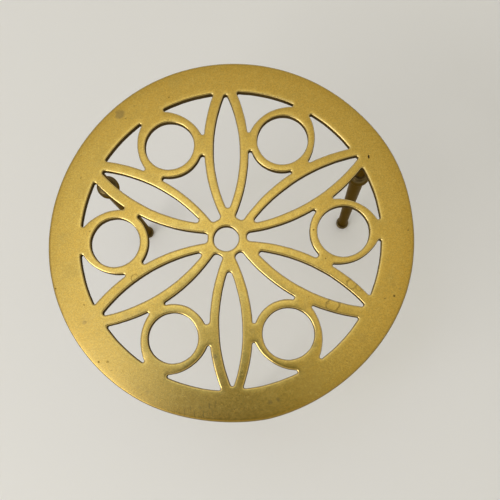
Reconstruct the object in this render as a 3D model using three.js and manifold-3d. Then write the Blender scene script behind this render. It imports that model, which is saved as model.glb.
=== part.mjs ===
// Round brass trivet: a pierced rosette plate standing on three tall turned legs.
// Millimetres, +Z up. The feet stand on z = 0 and the plate's rim is centred on the Z axis.
// Seen from above, +X is the plate's right and +Y its rear. Directions are degrees from +X.
import * as THREE from "three";
import { mergeVertices } from "three/addons/utils/BufferGeometryUtils.js";
import Module from "manifold-3d";

const wasm = await Module();
wasm.setup();

// Whole trivet
const TRIVET_HEIGHT = 192;
const SEAT_CLEARANCE = 0.3;

// Plate and its rim
const PLATE_RADIUS = 100;
const PLATE_THICKNESS = 4.5;
const RIM_WIDTH = 17.1;
const RIM_TOP_ROUNDING = 1.4;
const RIM_UNDER_ROUNDING = 0.6;
const OPENING_EASE = 0.5;
const RIM_INNER_RADIUS = PLATE_RADIUS - RIM_WIDTH;

// The rosette's sizes are shares of the rim's inner radius, so that the pattern fills any rim.
// It was marked out by hand, so its centre lies a little off the rim's centre.
const ROSETTE_CENTRE = new THREE.Vector2(-0.0072, -0.0097).multiplyScalar(RIM_INNER_RADIUS);

// Petals: a pointed opening between two curved bars, each cut by hand to its own size
const PETALS = [
  { direction: 29.8, root: 0.181, tip: 1.03, halfOpening: 0.0796, bar: 0.0663 },
  { direction: 89.3, root: 0.181, tip: 1.004, halfOpening: 0.0856, bar: 0.0639 },
  { direction: 149.9, root: 0.203, tip: 0.982, halfOpening: 0.0712, bar: 0.076 },
  { direction: 209.7, root: 0.187, tip: 0.972, halfOpening: 0.0748, bar: 0.0712 },
  { direction: 269.7, root: 0.203, tip: 0.98, halfOpening: 0.0724, bar: 0.0676 },
  { direction: 330.1, root: 0.203, tip: 1.001, halfOpening: 0.0736, bar: 0.0712 },
];
const PETAL_OUTLINE_ROOT_SHARE = 0.047;
const PETAL_OUTLINE_TIP_SHARE = 1.159;

// Rings: one between each pair of petals, fused to both, and to the rim by a neck.
// A neck's half width is given on the side of the right petal and on that of the left one.
const RINGS = [
  { direction: 0.4, distance: 0.755, bore: 0.1677, rightNeck: 0.041, leftNeck: 0.041 },
  { direction: 59.2, distance: 0.755, bore: 0.1665, rightNeck: 0.068, leftNeck: 0.043 },
  { direction: 120.1, distance: 0.75, bore: 0.1628, rightNeck: 0.07, leftNeck: 0.052 },
  { direction: 179.9, distance: 0.75, bore: 0.1604, rightNeck: 0.068, leftNeck: 0.0 },
  { direction: 239.5, distance: 0.747, bore: 0.1592, rightNeck: 0.041, leftNeck: 0.041 },
  { direction: 299.4, distance: 0.741, bore: 0.1653, rightNeck: 0.036, leftNeck: 0.06 },
];
const RING_HUB_SIDE_SHARE = 0.2244;
const RING_SHOULDER_SHARE = 0.2183;
const RING_SHOULDER_INWARD_SHARE = 0.0314;

// Hub, filed a little off the rosette's centre
const HUB_CENTRE = new THREE.Vector2(-0.0169, -0.0157).multiplyScalar(RIM_INNER_RADIUS);
const HUB_SHARE = 0.1291;
const HUB_BORE_SHARE = 0.0856;

// Corners of the openings, as a piercing saw and a file leave them
const HUB_CORNER_ROUNDING = 1.8;
const PETAL_ROOT_ROUNDING = 1.2;
const PETAL_TIP_ROUNDING = 0.9;
const SHARP_CORNER_ROUNDING = 0.6;

// How far to the side of a ring's axis its corners lie, as seen from the rosette's centre
const GAP_CORNER_TURN = 15;
const NECK_CORNER_TURN = 4;
const CROOK_CORNER_TURN = 18;

// Legs: where they stand, and the turning from the foot up
const LEGS = [
  { name: "leg_rear_right", direction: 30 },
  { name: "leg_rear_left", direction: 150 },
  { name: "leg_front", direction: 270 },
];
const LEG_INSET = 9.6;
const FOOT_RADIUS = 4.8;
const FOOT_HEIGHT = 3.2;
const FOOT_ROUNDING = 1.0;
const ANKLE_RADIUS = 3.1;
const ANKLE_HEIGHT = 9;
const SHAFT_RADIUS = 4.1;
const KNOP_RADIUS = 6.8;
const KNOP_HALF_HEIGHT = 5.2;
const KNOP_DEPTH = 52;
const FILLET_RING_RADIUS = 5.2;
const FILLET_RING_HEIGHT = 1.8;
const NECK_RADIUS = 3.9;
const SHOULDER_RADIUS = 6.6;
const SHOULDER_THICKNESS = 2.0;
const SHOULDER_COVE_HEIGHT = 5.0;
const SPIGOT_RADIUS = 3.4;
const SPIGOT_LENGTH = 3.0;
const SPIGOT_CHAMFER = 0.5;

// Finishes
const PLATE_FINISH = { color: 0xc6a24a, roughness: 0.36 };
const LEG_FINISH = { color: 0x8a6c30, roughness: 0.42 };

// How finely curves are cut into flats
const CHORD_ERROR = 0.09;
const RIM_EDGE_STEPS = 3;
const OPENING_EDGE_STEPS = 1;
const LATHE_SIDES = 18;
const SOCKET_SIDES = 18;
const TURNING_STEPS = 4;
const WELD_DISTANCE = 1e-4;
const SOCKET_OVERRUN = 1;

// Places that follow from the sizes above
const PLATE_CENTRE = new THREE.Vector2(0, 0);
const LEG_CIRCLE_RADIUS = PLATE_RADIUS - LEG_INSET;
const PLATE_UNDERSIDE = TRIVET_HEIGHT - PLATE_THICKNESS;
const SHOULDER_LEVEL = PLATE_UNDERSIDE - SEAT_CLEARANCE;
const KNOP_LEVEL = TRIVET_HEIGHT - KNOP_DEPTH;

function brass(finish) {
  return new THREE.MeshStandardMaterial({ ...finish, metalness: 1 });
}

// A length given as a share of the rim's inner radius.
function share(value) {
  return value * RIM_INNER_RADIUS;
}

// A point at a distance and direction from a centre.
function polar(centre, distance, direction) {
  const angle = THREE.MathUtils.degToRad(direction);
  return new THREE.Vector2(
    centre.x + distance * Math.cos(angle),
    centre.y + distance * Math.sin(angle),
  );
}

// One side of an opening: part of a circle that the opening lies outside of, or inside of.
function outsideOf(centre, radius) {
  return { centre, radius, grow: 1 };
}

function insideOf(centre, radius) {
  return { centre, radius, grow: -1 };
}

// The centre of the rounding that touches two sides, on the part of them nearest to a point.
function roundingCentre(a, b, rounding, near) {
  const reachA = a.radius + a.grow * rounding;
  const reachB = b.radius + b.grow * rounding;
  const between = b.centre.clone().sub(a.centre);
  const gap = between.length();
  const along = (gap * gap + reachA * reachA - reachB * reachB) / (2 * gap);
  const aside = Math.sqrt(Math.max(0, reachA * reachA - along * along));
  const unit = between.divideScalar(gap);
  const foot = a.centre.clone().addScaledVector(unit, along);
  const square = new THREE.Vector2(-unit.y, unit.x);
  const choices = [aside, -aside].map((step) => foot.clone().addScaledVector(square, step));
  return choices.sort((p, q) => p.distanceTo(near) - q.distanceTo(near))[0];
}

// Points of the shorter arc about a centre from one point to another, its last point left out.
// Each has the direction that leads into the metal: away from the centre, or towards it.
function arcPoints(centre, from, to, inward) {
  const radius = from.distanceTo(centre);
  const start = Math.atan2(from.y - centre.y, from.x - centre.x);
  const end = Math.atan2(to.y - centre.y, to.x - centre.x);
  const sweep = Math.atan2(Math.sin(end - start), Math.cos(end - start));
  const widest = 2 * Math.acos(1 - Math.min(1, CHORD_ERROR / radius));
  const steps = Math.max(1, Math.ceil(Math.abs(sweep) / widest));
  const points = [];
  for (let i = 0; i < steps; i += 1) {
    const angle = start + (sweep * i) / steps;
    const spoke = new THREE.Vector2(Math.cos(angle), Math.sin(angle));
    points.push({
      place: centre.clone().addScaledVector(spoke, radius),
      intoMetal: spoke.multiplyScalar(inward ? -1 : 1),
    });
  }
  return points;
}

// An opening whose corners each join a side to the next with a rounding.
// Each corner holds the rounding and the point that the corner is near.
function roundedOpening(sides, corners) {
  const count = sides.length;
  const roundings = corners.map((corner, i) => {
    const before = sides[(i + count - 1) % count];
    const after = sides[i];
    const centre = roundingCentre(before, after, corner.rounding, corner.near);
    const touch = (side) =>
      side.centre.clone().lerp(centre, side.radius / side.centre.distanceTo(centre));
    return { centre, enter: touch(before), leave: touch(after) };
  });
  return sides.flatMap((side, i) => {
    const here = roundings[i];
    const next = roundings[(i + 1) % count];
    return [
      ...arcPoints(here.centre, here.enter, here.leave, false),
      ...arcPoints(side.centre, here.leave, next.enter, side.grow > 0),
    ];
  });
}

// A whole circle, counter-clockwise from +X, as a bore's outline or as the rim's.
function circleOutline(centre, radius, inward) {
  const quarter = Math.ceil(Math.PI / 4 / Math.acos(1 - CHORD_ERROR / radius));
  const steps = 4 * quarter;
  const points = [];
  for (let i = 0; i < steps; i += 1) {
    const place = polar(centre, radius, (360 * i) / steps);
    const spoke = place.clone().sub(centre).normalize();
    points.push({ place, intoMetal: spoke.multiplyScalar(inward ? -1 : 1) });
  }
  return points;
}

// The two circles of a pointed lens on a petal's axis, the right one first as seen from the hub.
function lensCircles(direction, root, tip, halfWidth) {
  const middle = polar(ROSETTE_CENTRE, (root + tip) / 2, direction);
  const halfLength = (tip - root) / 2;
  const radius = (halfLength * halfLength + halfWidth * halfWidth) / (2 * halfWidth);
  return [-1, 1].map((side) => ({
    centre: polar(middle, radius - halfWidth, direction + side * 90),
    radius,
  }));
}

function petalOpening(petal) {
  const root = share(petal.root);
  const tip = share(petal.tip);
  const circles = lensCircles(petal.direction, root, tip, share(petal.halfOpening));
  return roundedOpening(
    circles.map((circle) => insideOf(circle.centre, circle.radius)),
    [
      { rounding: PETAL_ROOT_ROUNDING, near: polar(ROSETTE_CENTRE, root, petal.direction) },
      { rounding: PETAL_TIP_ROUNDING, near: polar(ROSETTE_CENTRE, tip, petal.direction) },
    ],
  );
}

// The outer edges of a petal's bars. The first bounds the gap on the petal's left, as seen
// from the hub, and the second the gap on its right.
function petalEdges(petal) {
  return lensCircles(
    petal.direction,
    share(PETAL_OUTLINE_ROOT_SHARE),
    share(PETAL_OUTLINE_TIP_SHARE),
    share(petal.halfOpening + petal.bar),
  ).map((circle) => outsideOf(circle.centre, circle.radius));
}

// The opening between the hub, two petals and the ring that stands between them.
function gapOpening(ring, rightPetal, leftPetal) {
  const [rightEdge] = petalEdges(rightPetal);
  const [, leftEdge] = petalEdges(leftPetal);
  const ringCentre = polar(ROSETTE_CENTRE, share(ring.distance), ring.direction);
  const hubEnd = polar(HUB_CENTRE, share(HUB_SHARE), ring.direction);
  const ringCorner = (side) => ({
    rounding: SHARP_CORNER_ROUNDING,
    near: polar(
      ROSETTE_CENTRE,
      share(ring.distance - ring.bore),
      ring.direction + side * GAP_CORNER_TURN,
    ),
  });
  return roundedOpening(
    [
      rightEdge,
      outsideOf(ringCentre, share(RING_HUB_SIDE_SHARE)),
      leftEdge,
      outsideOf(HUB_CENTRE, share(HUB_SHARE)),
    ],
    [
      { rounding: HUB_CORNER_ROUNDING, near: hubEnd },
      ringCorner(-1),
      ringCorner(1),
      { rounding: HUB_CORNER_ROUNDING, near: hubEnd },
    ],
  );
}

// The shoulder of a ring on one side: a circle square to the ring's widest line, which meets the
// rim where the neck's half width ends.
function ringShoulder(ring, side, neck) {
  const level = ring.distance - RING_SHOULDER_INWARD_SHARE;
  const rise = 1 - level;
  const spread = RING_SHOULDER_SHARE - neck;
  const radius = (rise * rise + spread * spread) / (2 * spread);
  const middle = polar(ROSETTE_CENTRE, share(level), ring.direction);
  const across = share(RING_SHOULDER_SHARE - radius);
  return outsideOf(polar(middle, side * across, ring.direction + 90), share(radius));
}

// The opening between a ring, the petal on one side of it and the rim.
function rimOpening(ring, petal, side) {
  const neck = side > 0 ? ring.leftNeck : ring.rightNeck;
  const [leftOfPetal, rightOfPetal] = petalEdges(petal);
  const near = (centre, distance, direction) => ({
    rounding: SHARP_CORNER_ROUNDING,
    near: polar(centre, distance, direction),
  });
  return roundedOpening(
    [
      ringShoulder(ring, side, neck),
      side > 0 ? rightOfPetal : leftOfPetal,
      insideOf(PLATE_CENTRE, RIM_INNER_RADIUS),
    ],
    [
      near(PLATE_CENTRE, RIM_INNER_RADIUS, ring.direction + side * NECK_CORNER_TURN),
      near(ROSETTE_CENTRE, share(ring.distance), ring.direction + side * CROOK_CORNER_TURN),
      near(PLATE_CENTRE, RIM_INNER_RADIUS, petal.direction - side * NECK_CORNER_TURN),
    ],
  );
}

function plateOpenings() {
  const openings = [circleOutline(HUB_CENTRE, share(HUB_BORE_SHARE), false)];
  PETALS.forEach((petal) => openings.push(petalOpening(petal)));
  RINGS.forEach((ring, i) => {
    const leftPetal = PETALS[i];
    const rightPetal = PETALS[(i + PETALS.length - 1) % PETALS.length];
    const boreCentre = polar(ROSETTE_CENTRE, share(ring.distance), ring.direction);
    openings.push(circleOutline(boreCentre, share(ring.bore), false));
    openings.push(gapOpening(ring, rightPetal, leftPetal));
    openings.push(rimOpening(ring, leftPetal, 1));
    openings.push(rimOpening(ring, rightPetal, -1));
  });
  return openings;
}

// A wall's section from the underside up: how far it stands back into the metal at each height.
function edgeSection(underRounding, topRounding, steps) {
  const rounded = (radius) =>
    Array.from({ length: steps + 1 }, (_, i) => {
      const angle = (Math.PI / 2) * (i / steps);
      return { back: radius * (1 - Math.cos(angle)), rise: radius * (1 - Math.sin(angle)) };
    });
  const under = rounded(underRounding).reverse();
  const top = rounded(topRounding);
  return [
    ...under.map((point) => ({ back: point.back, height: point.rise })),
    ...top.map((point) => ({ back: point.back, height: PLATE_THICKNESS - point.rise })),
  ];
}

// The plate with its rounded edges, its underside on z = 0. Each outline is repeated at the
// heights of its section, and flat faces close the top and the underside.
function piercedPlate() {
  const rimSection = edgeSection(RIM_UNDER_ROUNDING, RIM_TOP_ROUNDING, RIM_EDGE_STEPS);
  const openingSection = edgeSection(OPENING_EASE, OPENING_EASE, OPENING_EDGE_STEPS);
  const walls = [
    { outline: circleOutline(PLATE_CENTRE, PLATE_RADIUS, true), section: rimSection, turn: 1 },
    ...plateOpenings().map((outline) => ({
      outline: isAnticlockwise(outline) ? outline : outline.reverse(),
      section: openingSection,
      turn: -1,
    })),
  ];
  const corners = [];
  const triangles = [];
  const rows = walls.map((wall) =>
    wall.section.map((level) => {
      const row = wall.outline.map((point) => point.place.clone());
      row.forEach((place, i) => place.addScaledVector(wall.outline[i].intoMetal, level.back));
      const first = corners.length / 3;
      row.forEach((place) => corners.push(place.x, place.y, level.height));
      return { row, first };
    }),
  );
  rows.forEach((levels, w) => {
    const count = walls[w].outline.length;
    for (let level = 1; level < levels.length; level += 1) {
      const low = levels[level - 1].first;
      const high = levels[level].first;
      for (let i = 0; i < count; i += 1) {
        const next = (i + 1) % count;
        const [a, b] = walls[w].turn > 0 ? [i, next] : [next, i];
        triangles.push(low + a, low + b, high + b, low + a, high + b, high + a);
      }
    }
  });
  closeFace(rows.map((levels) => levels.at(-1)), 1, triangles);
  closeFace(rows.map((levels) => levels[0]), -1, triangles);
  return solidOf(corners, triangles);
}

function isAnticlockwise(outline) {
  return !THREE.ShapeUtils.isClockWise(outline.map((point) => point.place));
}

// Fills the flat face between the first row of points, the rim's, and the openings' rows.
function closeFace(levels, facing, triangles) {
  const [rim, ...openings] = levels.map((level) => level.row);
  const indices = levels.flatMap((level) => level.row.map((_, i) => level.first + i));
  THREE.ShapeUtils.triangulateShape(rim, openings).forEach((face) => {
    const [a, b, c] = face.map((i) => indices[i]);
    triangles.push(a, ...(facing > 0 ? [b, c] : [c, b]));
  });
}

function solidOf(corners, triangles) {
  return new wasm.Manifold(
    new wasm.Mesh({
      numProp: 3,
      vertProperties: new Float32Array(corners),
      triVerts: new Uint32Array(triangles),
    }),
  );
}

function toGeometry(solid) {
  const mesh = solid.getMesh();
  const geometry = new THREE.BufferGeometry();
  geometry.setAttribute("position", new THREE.BufferAttribute(mesh.vertProperties, 3));
  geometry.setIndex(new THREE.BufferAttribute(mesh.triVerts, 1));
  geometry.computeVertexNormals();
  return geometry;
}

// The blind hole in the plate's underside that takes a leg's spigot.
function legSocket(direction) {
  const place = polar(PLATE_CENTRE, LEG_CIRCLE_RADIUS, direction);
  const radius = SPIGOT_RADIUS + SEAT_CLEARANCE;
  const height = SPIGOT_LENGTH + SOCKET_OVERRUN;
  const bare = new THREE.CylinderGeometry(radius, radius, height, SOCKET_SIDES);
  bare.rotateX(Math.PI / 2).translate(place.x, place.y, SPIGOT_LENGTH - height / 2);
  bare.deleteAttribute("normal");
  bare.deleteAttribute("uv");
  const welded = mergeVertices(bare, WELD_DISTANCE);
  return solidOf(welded.attributes.position.array, welded.index.array);
}

function rosettePlate() {
  const bored = LEGS.reduce(
    (plate, leg) => plate.subtract(legSocket(leg.direction)),
    piercedPlate(),
  );
  const mesh = new THREE.Mesh(toGeometry(bored), brass(PLATE_FINISH));
  mesh.name = "rosette_plate";
  mesh.position.z = PLATE_UNDERSIDE;
  return mesh;
}

// The half section of a leg, from the foot's underside up to the spigot's end.
function legProfile() {
  const knopBottom = KNOP_LEVEL - KNOP_HALF_HEIGHT;
  const knopTop = KNOP_LEVEL + KNOP_HALF_HEIGHT;
  const lowerRing = knopBottom - FILLET_RING_HEIGHT;
  const upperRing = knopTop + FILLET_RING_HEIGHT;
  const shoulderBottom = SHOULDER_LEVEL - SHOULDER_THICKNESS;
  const spigotTop = SHOULDER_LEVEL + SPIGOT_LENGTH;
  const profile = new THREE.Path();
  profile.moveTo(0, 0);
  profile.lineTo(FOOT_RADIUS - FOOT_ROUNDING, 0);
  profile.quadraticCurveTo(FOOT_RADIUS, 0, FOOT_RADIUS, FOOT_ROUNDING);
  profile.lineTo(FOOT_RADIUS, FOOT_HEIGHT - FOOT_ROUNDING);
  profile.quadraticCurveTo(FOOT_RADIUS, FOOT_HEIGHT, FOOT_RADIUS - FOOT_ROUNDING, FOOT_HEIGHT);
  profile.quadraticCurveTo(ANKLE_RADIUS, FOOT_HEIGHT, ANKLE_RADIUS, ANKLE_HEIGHT);
  profile.lineTo(SHAFT_RADIUS, lowerRing);
  profile.quadraticCurveTo(
    FILLET_RING_RADIUS,
    lowerRing,
    FILLET_RING_RADIUS,
    lowerRing + FILLET_RING_HEIGHT / 2,
  );
  profile.quadraticCurveTo(FILLET_RING_RADIUS, knopBottom, SHAFT_RADIUS, knopBottom);
  profile.bezierCurveTo(
    KNOP_RADIUS,
    knopBottom,
    KNOP_RADIUS,
    knopBottom + KNOP_HALF_HEIGHT / 2,
    KNOP_RADIUS,
    KNOP_LEVEL,
  );
  profile.bezierCurveTo(
    KNOP_RADIUS,
    knopTop - KNOP_HALF_HEIGHT / 2,
    KNOP_RADIUS,
    knopTop,
    NECK_RADIUS,
    knopTop,
  );
  profile.quadraticCurveTo(
    FILLET_RING_RADIUS,
    knopTop,
    FILLET_RING_RADIUS,
    upperRing - FILLET_RING_HEIGHT / 2,
  );
  profile.quadraticCurveTo(FILLET_RING_RADIUS, upperRing, NECK_RADIUS, upperRing);
  profile.lineTo(NECK_RADIUS, shoulderBottom - SHOULDER_COVE_HEIGHT);
  profile.quadraticCurveTo(NECK_RADIUS, shoulderBottom, SHOULDER_RADIUS, shoulderBottom);
  profile.lineTo(SHOULDER_RADIUS, SHOULDER_LEVEL);
  profile.lineTo(SPIGOT_RADIUS, SHOULDER_LEVEL);
  profile.lineTo(SPIGOT_RADIUS, spigotTop - SPIGOT_CHAMFER);
  profile.lineTo(SPIGOT_RADIUS - SPIGOT_CHAMFER, spigotTop);
  profile.lineTo(0, spigotTop);
  return profile.getPoints(TURNING_STEPS);
}

function turnedLeg(leg) {
  const geometry = new THREE.LatheGeometry(legProfile(), LATHE_SIDES).rotateX(Math.PI / 2);
  const mesh = new THREE.Mesh(geometry, brass(LEG_FINISH));
  const place = polar(PLATE_CENTRE, LEG_CIRCLE_RADIUS, leg.direction);
  mesh.name = leg.name;
  mesh.position.set(place.x, place.y, 0);
  return mesh;
}

const trivet = new THREE.Group();
trivet.add(rosettePlate());
LEGS.forEach((leg) => trivet.add(turnedLeg(leg)));

export default trivet;
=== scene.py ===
import logging
import math
from dataclasses import dataclass
from enum import Enum
from typing import Any, Callable, Sequence

import bpy
import numpy as np
from mathutils import Matrix, Vector
from mathutils.geometry import delaunay_2d_cdt


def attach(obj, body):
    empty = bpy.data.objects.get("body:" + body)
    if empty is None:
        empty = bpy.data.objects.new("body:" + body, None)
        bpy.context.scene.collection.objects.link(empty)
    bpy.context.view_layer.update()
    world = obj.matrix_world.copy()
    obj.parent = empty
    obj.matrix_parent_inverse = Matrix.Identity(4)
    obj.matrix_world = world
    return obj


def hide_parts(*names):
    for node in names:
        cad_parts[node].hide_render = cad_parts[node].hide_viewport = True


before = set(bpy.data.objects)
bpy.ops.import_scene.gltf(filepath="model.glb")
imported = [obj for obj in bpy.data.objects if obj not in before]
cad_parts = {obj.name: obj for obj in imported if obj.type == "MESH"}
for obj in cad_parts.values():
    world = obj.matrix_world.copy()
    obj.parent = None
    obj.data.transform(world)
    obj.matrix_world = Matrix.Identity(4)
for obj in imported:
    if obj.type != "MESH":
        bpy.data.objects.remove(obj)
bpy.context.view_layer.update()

log = logging.getLogger("trivet")
MM = 0.001
BODY = "root"
# Values that the plate's finish reads at each point
POINT_VALUES = ("edge", "wall", "under", "bevel")
# Sockets of a Mix node for colours
MIX_COLOURS, MIX_RESULT = (6, 7), 2
# The longest step along an arc, in degrees
LONGEST_TURN = 24.0
# How many points have their distances taken at a time
CHUNK = 400
# Which faces a flat fill keeps, and how near points count as one, in millimetres
FILL_INSIDE, FILL_NEARNESS = 1, 1e-7
Pair = tuple[float, float]
Triple = tuple[float, float, float]


# Node graphs

def operator(operation: str, reflected: bool = False) -> Callable[["Wire", Any], "Wire"]:
    """Makes a method for one of Python's operators on wires.

    Args:
        operation: The Math node's operation.
        reflected: Whether the wire stands on the operator's right.

    Returns:
        A method that adds the node.
    """

    def method(wire: "Wire", other: Any) -> "Wire":
        """The operation on the wire and another wire or a number."""
        return wire.graph.math(operation, *((other, wire) if reflected else (wire, other)))

    return method


class Wire:
    """One output of a node. Python's operators on it add Math nodes to its graph."""

    def __init__(self, graph: "Graph", socket: bpy.types.NodeSocket) -> None:
        """Keeps the graph and the output that the wire stands for."""
        self.graph = graph
        self.socket = socket

    __add__, __radd__ = operator("ADD"), operator("ADD", True)
    __sub__, __rsub__ = operator("SUBTRACT"), operator("SUBTRACT", True)
    __mul__, __rmul__ = operator("MULTIPLY"), operator("MULTIPLY", True)
    __truediv__ = operator("DIVIDE")

    def __neg__(self) -> "Wire":
        """Opposite."""
        return self * -1.0

    def fade(self, start: float, end: float) -> "Wire":
        """A smooth step of this value.

        Args:
            start: The value at which the step is 0.
            end: The value at which it is 1; it may be below start.

        Returns:
            The step, from 0 to 1.
        """
        return self.graph.add(
            "ShaderNodeMapRange",
            {"interpolation_type": "SMOOTHSTEP"},
            {"Value": self, "From Min": start, "From Max": end},
        )


class Graph:
    """Adds nodes to a shader, world or geometry tree."""

    def __init__(self, tree: bpy.types.NodeTree) -> None:
        """Keeps the tree and empties it."""
        self.tree = tree
        tree.nodes.clear()

    def add(
        self,
        kind: str,
        settings: dict[str, Any] | None = None,
        inputs: dict[str | int, Any] | None = None,
        output: str | int = 0,
    ) -> Wire:
        """Adds one node.

        Args:
            kind: The node's type.
            settings: Its own settings, which are set first.
            inputs: Values or wires by the socket's name or number.
            output: The output that the wire takes.

        Returns:
            A wire from that output, or from nothing where the node has no output.
        """
        node = self.tree.nodes.new(kind)
        for name, value in (settings or {}).items():
            setattr(node, name, value)
        for key, value in (inputs or {}).items():
            socket = node.inputs[key]
            if isinstance(value, Wire):
                self.tree.links.new(value.socket, socket)
            else:
                socket.default_value = value
        return Wire(self, node.outputs[output] if node.outputs else None)

    def math(self, operation: str, *values: Any) -> Wire:
        """Adds a Math node on wires or numbers."""
        return self.add("ShaderNodeMath", {"operation": operation}, dict(enumerate(values)))

    def vector(self, operation: str, *values: Any, output: str | int = 0) -> Wire:
        """Adds a Vector Math node on wires or triples."""
        inputs = dict(enumerate(values))
        return self.add("ShaderNodeVectorMath", {"operation": operation}, inputs, output)

    def scaled(self, vector: Wire, factors: Triple) -> Wire:
        """Multiplies a vector's parts by three factors."""
        return self.vector("MULTIPLY", vector, factors)

    def stretched(self, vector: Any, factor: Any) -> Wire:
        """Multiplies a vector by one number."""
        inputs = {0: vector, "Scale": factor}
        return self.add("ShaderNodeVectorMath", {"operation": "SCALE"}, inputs)

    def parts(self, vector: Wire) -> list[Wire]:
        """The X, Y and Z of a vector."""
        split = self.add("ShaderNodeSeparateXYZ", inputs={0: vector})
        return [Wire(self, output) for output in split.socket.node.outputs]

    def attribute(self, name: str) -> Wire:
        """A value that the mesh has at each point, in a shader."""
        return self.add("ShaderNodeAttribute", {"attribute_name": name}, output="Fac")

    def mix(self, factor: Any, first: Any, second: Any) -> Wire:
        """Mixes two colours.

        Args:
            factor: The share of the second colour.
            first: A wire or a triple.
            second: A wire or a triple.

        Returns:
            The mixed colour.
        """
        inputs = {0: factor}
        for key, colour in zip(MIX_COLOURS, (first, second)):
            inputs[key] = colour if isinstance(colour, Wire) else (*colour, 1.0)
        return self.add("ShaderNodeMix", {"data_type": "RGBA"}, inputs, MIX_RESULT)

    def layered(self, colour: Any, *layers: tuple[Any, Any]) -> Wire:
        """Lays colours over a first one.

        Args:
            colour: The first colour.
            *layers: The share and the colour of each layer.

        Returns:
            The resulting colour.
        """
        for share, layer in layers:
            colour = self.mix(share, colour, layer)
        return colour

    def noise(self, place: Wire, scale: float, detail: float = 3.0, shift: float = 0.0) -> Wire:
        """Noise of about 0 to 1.

        Args:
            place: The coordinates, in millimetres.
            scale: Features per millimetre.
            detail: Octaves.
            shift: Moves the pattern, so that two of the same scale differ.

        Returns:
            The noise's value.
        """
        moved = self.vector("ADD", place, (shift, -shift, 0.5 * shift)) if shift else place
        return self.add(
            "ShaderNodeTexNoise",
            {"noise_dimensions": "3D"},
            {"Vector": moved, "Scale": scale, "Detail": detail, "Roughness": 0.55},
        )

    def scratches(self, place: Wire, turn: float, width: float, length: float) -> Wire:
        """Long thin marks in one direction.

        Args:
            place: Coordinates in millimetres.
            turn: The direction, in degrees.
            width: A mark's width, in millimetres.
            length: Its length.

        Returns:
            Noise drawn out along that direction.
        """
        turned = self.add(
            "ShaderNodeMapping",
            {"vector_type": "POINT"},
            {"Vector": place, "Rotation": (0.0, 0.0, math.radians(turn))},
        )
        return self.noise(self.scaled(turned, (1 / length, 1 / width, 0.2)), 1.0, 2.0, turn)


# Plan of the plate: outlines made of circular sides

@dataclass(frozen=True)
class Outline:
    """A closed edge of the plate's metal, in plan.

    Attributes:
        places: The points, one row each, in millimetres.
        into: At each point, the direction that leads into the metal.
    """

    places: np.ndarray
    into: np.ndarray

    def moved_back(self, distance: float | np.ndarray) -> np.ndarray:
        """The outline's points after the metal has drawn back by a distance."""
        return self.places + self.into * distance

    def anticlockwise(self) -> "Outline":
        """Brings the points into anticlockwise order.

        Returns:
            This outline, or one whose points run the other way.
        """
        x, y = self.places.T
        if np.sum(x * np.roll(y, -1) - np.roll(x, -1) * y) > 0:
            return self
        return Outline(self.places[::-1], self.into[::-1])


@dataclass(frozen=True)
class Side:
    """One circular side of an opening.

    Attributes:
        centre: The circle's centre, in millimetres.
        radius: Its radius.
        solid: 1 where the metal fills the circle, and -1 where it lies around it.
    """

    centre: np.ndarray
    radius: float
    solid: int


def polar(centre: np.ndarray, distance: float, direction: float) -> np.ndarray:
    """A point at a distance and direction, in degrees, from a centre."""
    angle = math.radians(direction)
    return centre + distance * np.array([math.cos(angle), math.sin(angle)])


def of_side(pair: Pair, side: int) -> float:
    """The right one of a pair for a side below 0, and otherwise the left one."""
    return pair[1] if side > 0 else pair[0]


def rounding_centre(a: Side, b: Side, rounding: float, near: np.ndarray) -> np.ndarray:
    """The centre of the corner rounding between two sides.

    Args:
        a: The side before the corner.
        b: The side after it.
        rounding: The corner's radius.
        near: A point near the corner.

    Returns:
        The centre of the circle that touches both sides inside the opening.
    """
    reach_a = a.radius + a.solid * rounding
    reach_b = b.radius + b.solid * rounding
    gap = float(np.linalg.norm(b.centre - a.centre))
    along = (gap * gap + reach_a * reach_a - reach_b * reach_b) / (2 * gap)
    aside = math.sqrt(max(0.0, reach_a * reach_a - along * along))
    unit = (b.centre - a.centre) / gap
    foot = a.centre + unit * along
    square = np.array([-unit[1], unit[0]])
    both = (foot + square * aside, foot - square * aside)
    return min(both, key=lambda place: np.linalg.norm(place - near))


def on_circle(centre: np.ndarray, radius: float, angles: np.ndarray, solid: int) -> Outline:
    """A circle's points at some angles; solid is 1 where the metal fills it, else -1."""
    spokes = np.stack([np.cos(angles), np.sin(angles)], 1)
    return Outline(centre + spokes * radius, -spokes * solid)


def arc(
    centre: np.ndarray, start: np.ndarray, end: np.ndarray, solid: int, spacing: float
) -> Outline:
    """The shorter arc about a centre from one point to another.

    Args:
        centre: The arc's centre.
        start: Its first point.
        end: Its end, which is left out.
        solid: 1 where the metal is on the centre's side, else -1.
        spacing: The longest step, in millimetres.

    Returns:
        The arc as an open outline.
    """
    radius = float(np.linalg.norm(start - centre))
    first = math.atan2(*(start - centre)[::-1])
    last = math.atan2(*(end - centre)[::-1])
    sweep = math.atan2(math.sin(last - first), math.cos(last - first))
    steps = max(
        1,
        math.ceil(abs(sweep) * radius / spacing),
        math.ceil(abs(sweep) / math.radians(LONGEST_TURN)),
    )
    return on_circle(centre, radius, first + sweep * np.arange(steps) / steps, solid)


def circle(centre: np.ndarray, radius: float, solid: int, spacing: float) -> Outline:
    """A whole circle as an outline; solid is 1 where the metal fills it."""
    steps = 4 * math.ceil(math.pi * radius / (2 * spacing))
    return on_circle(centre, radius, 2 * math.pi * np.arange(steps) / steps, solid)


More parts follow.
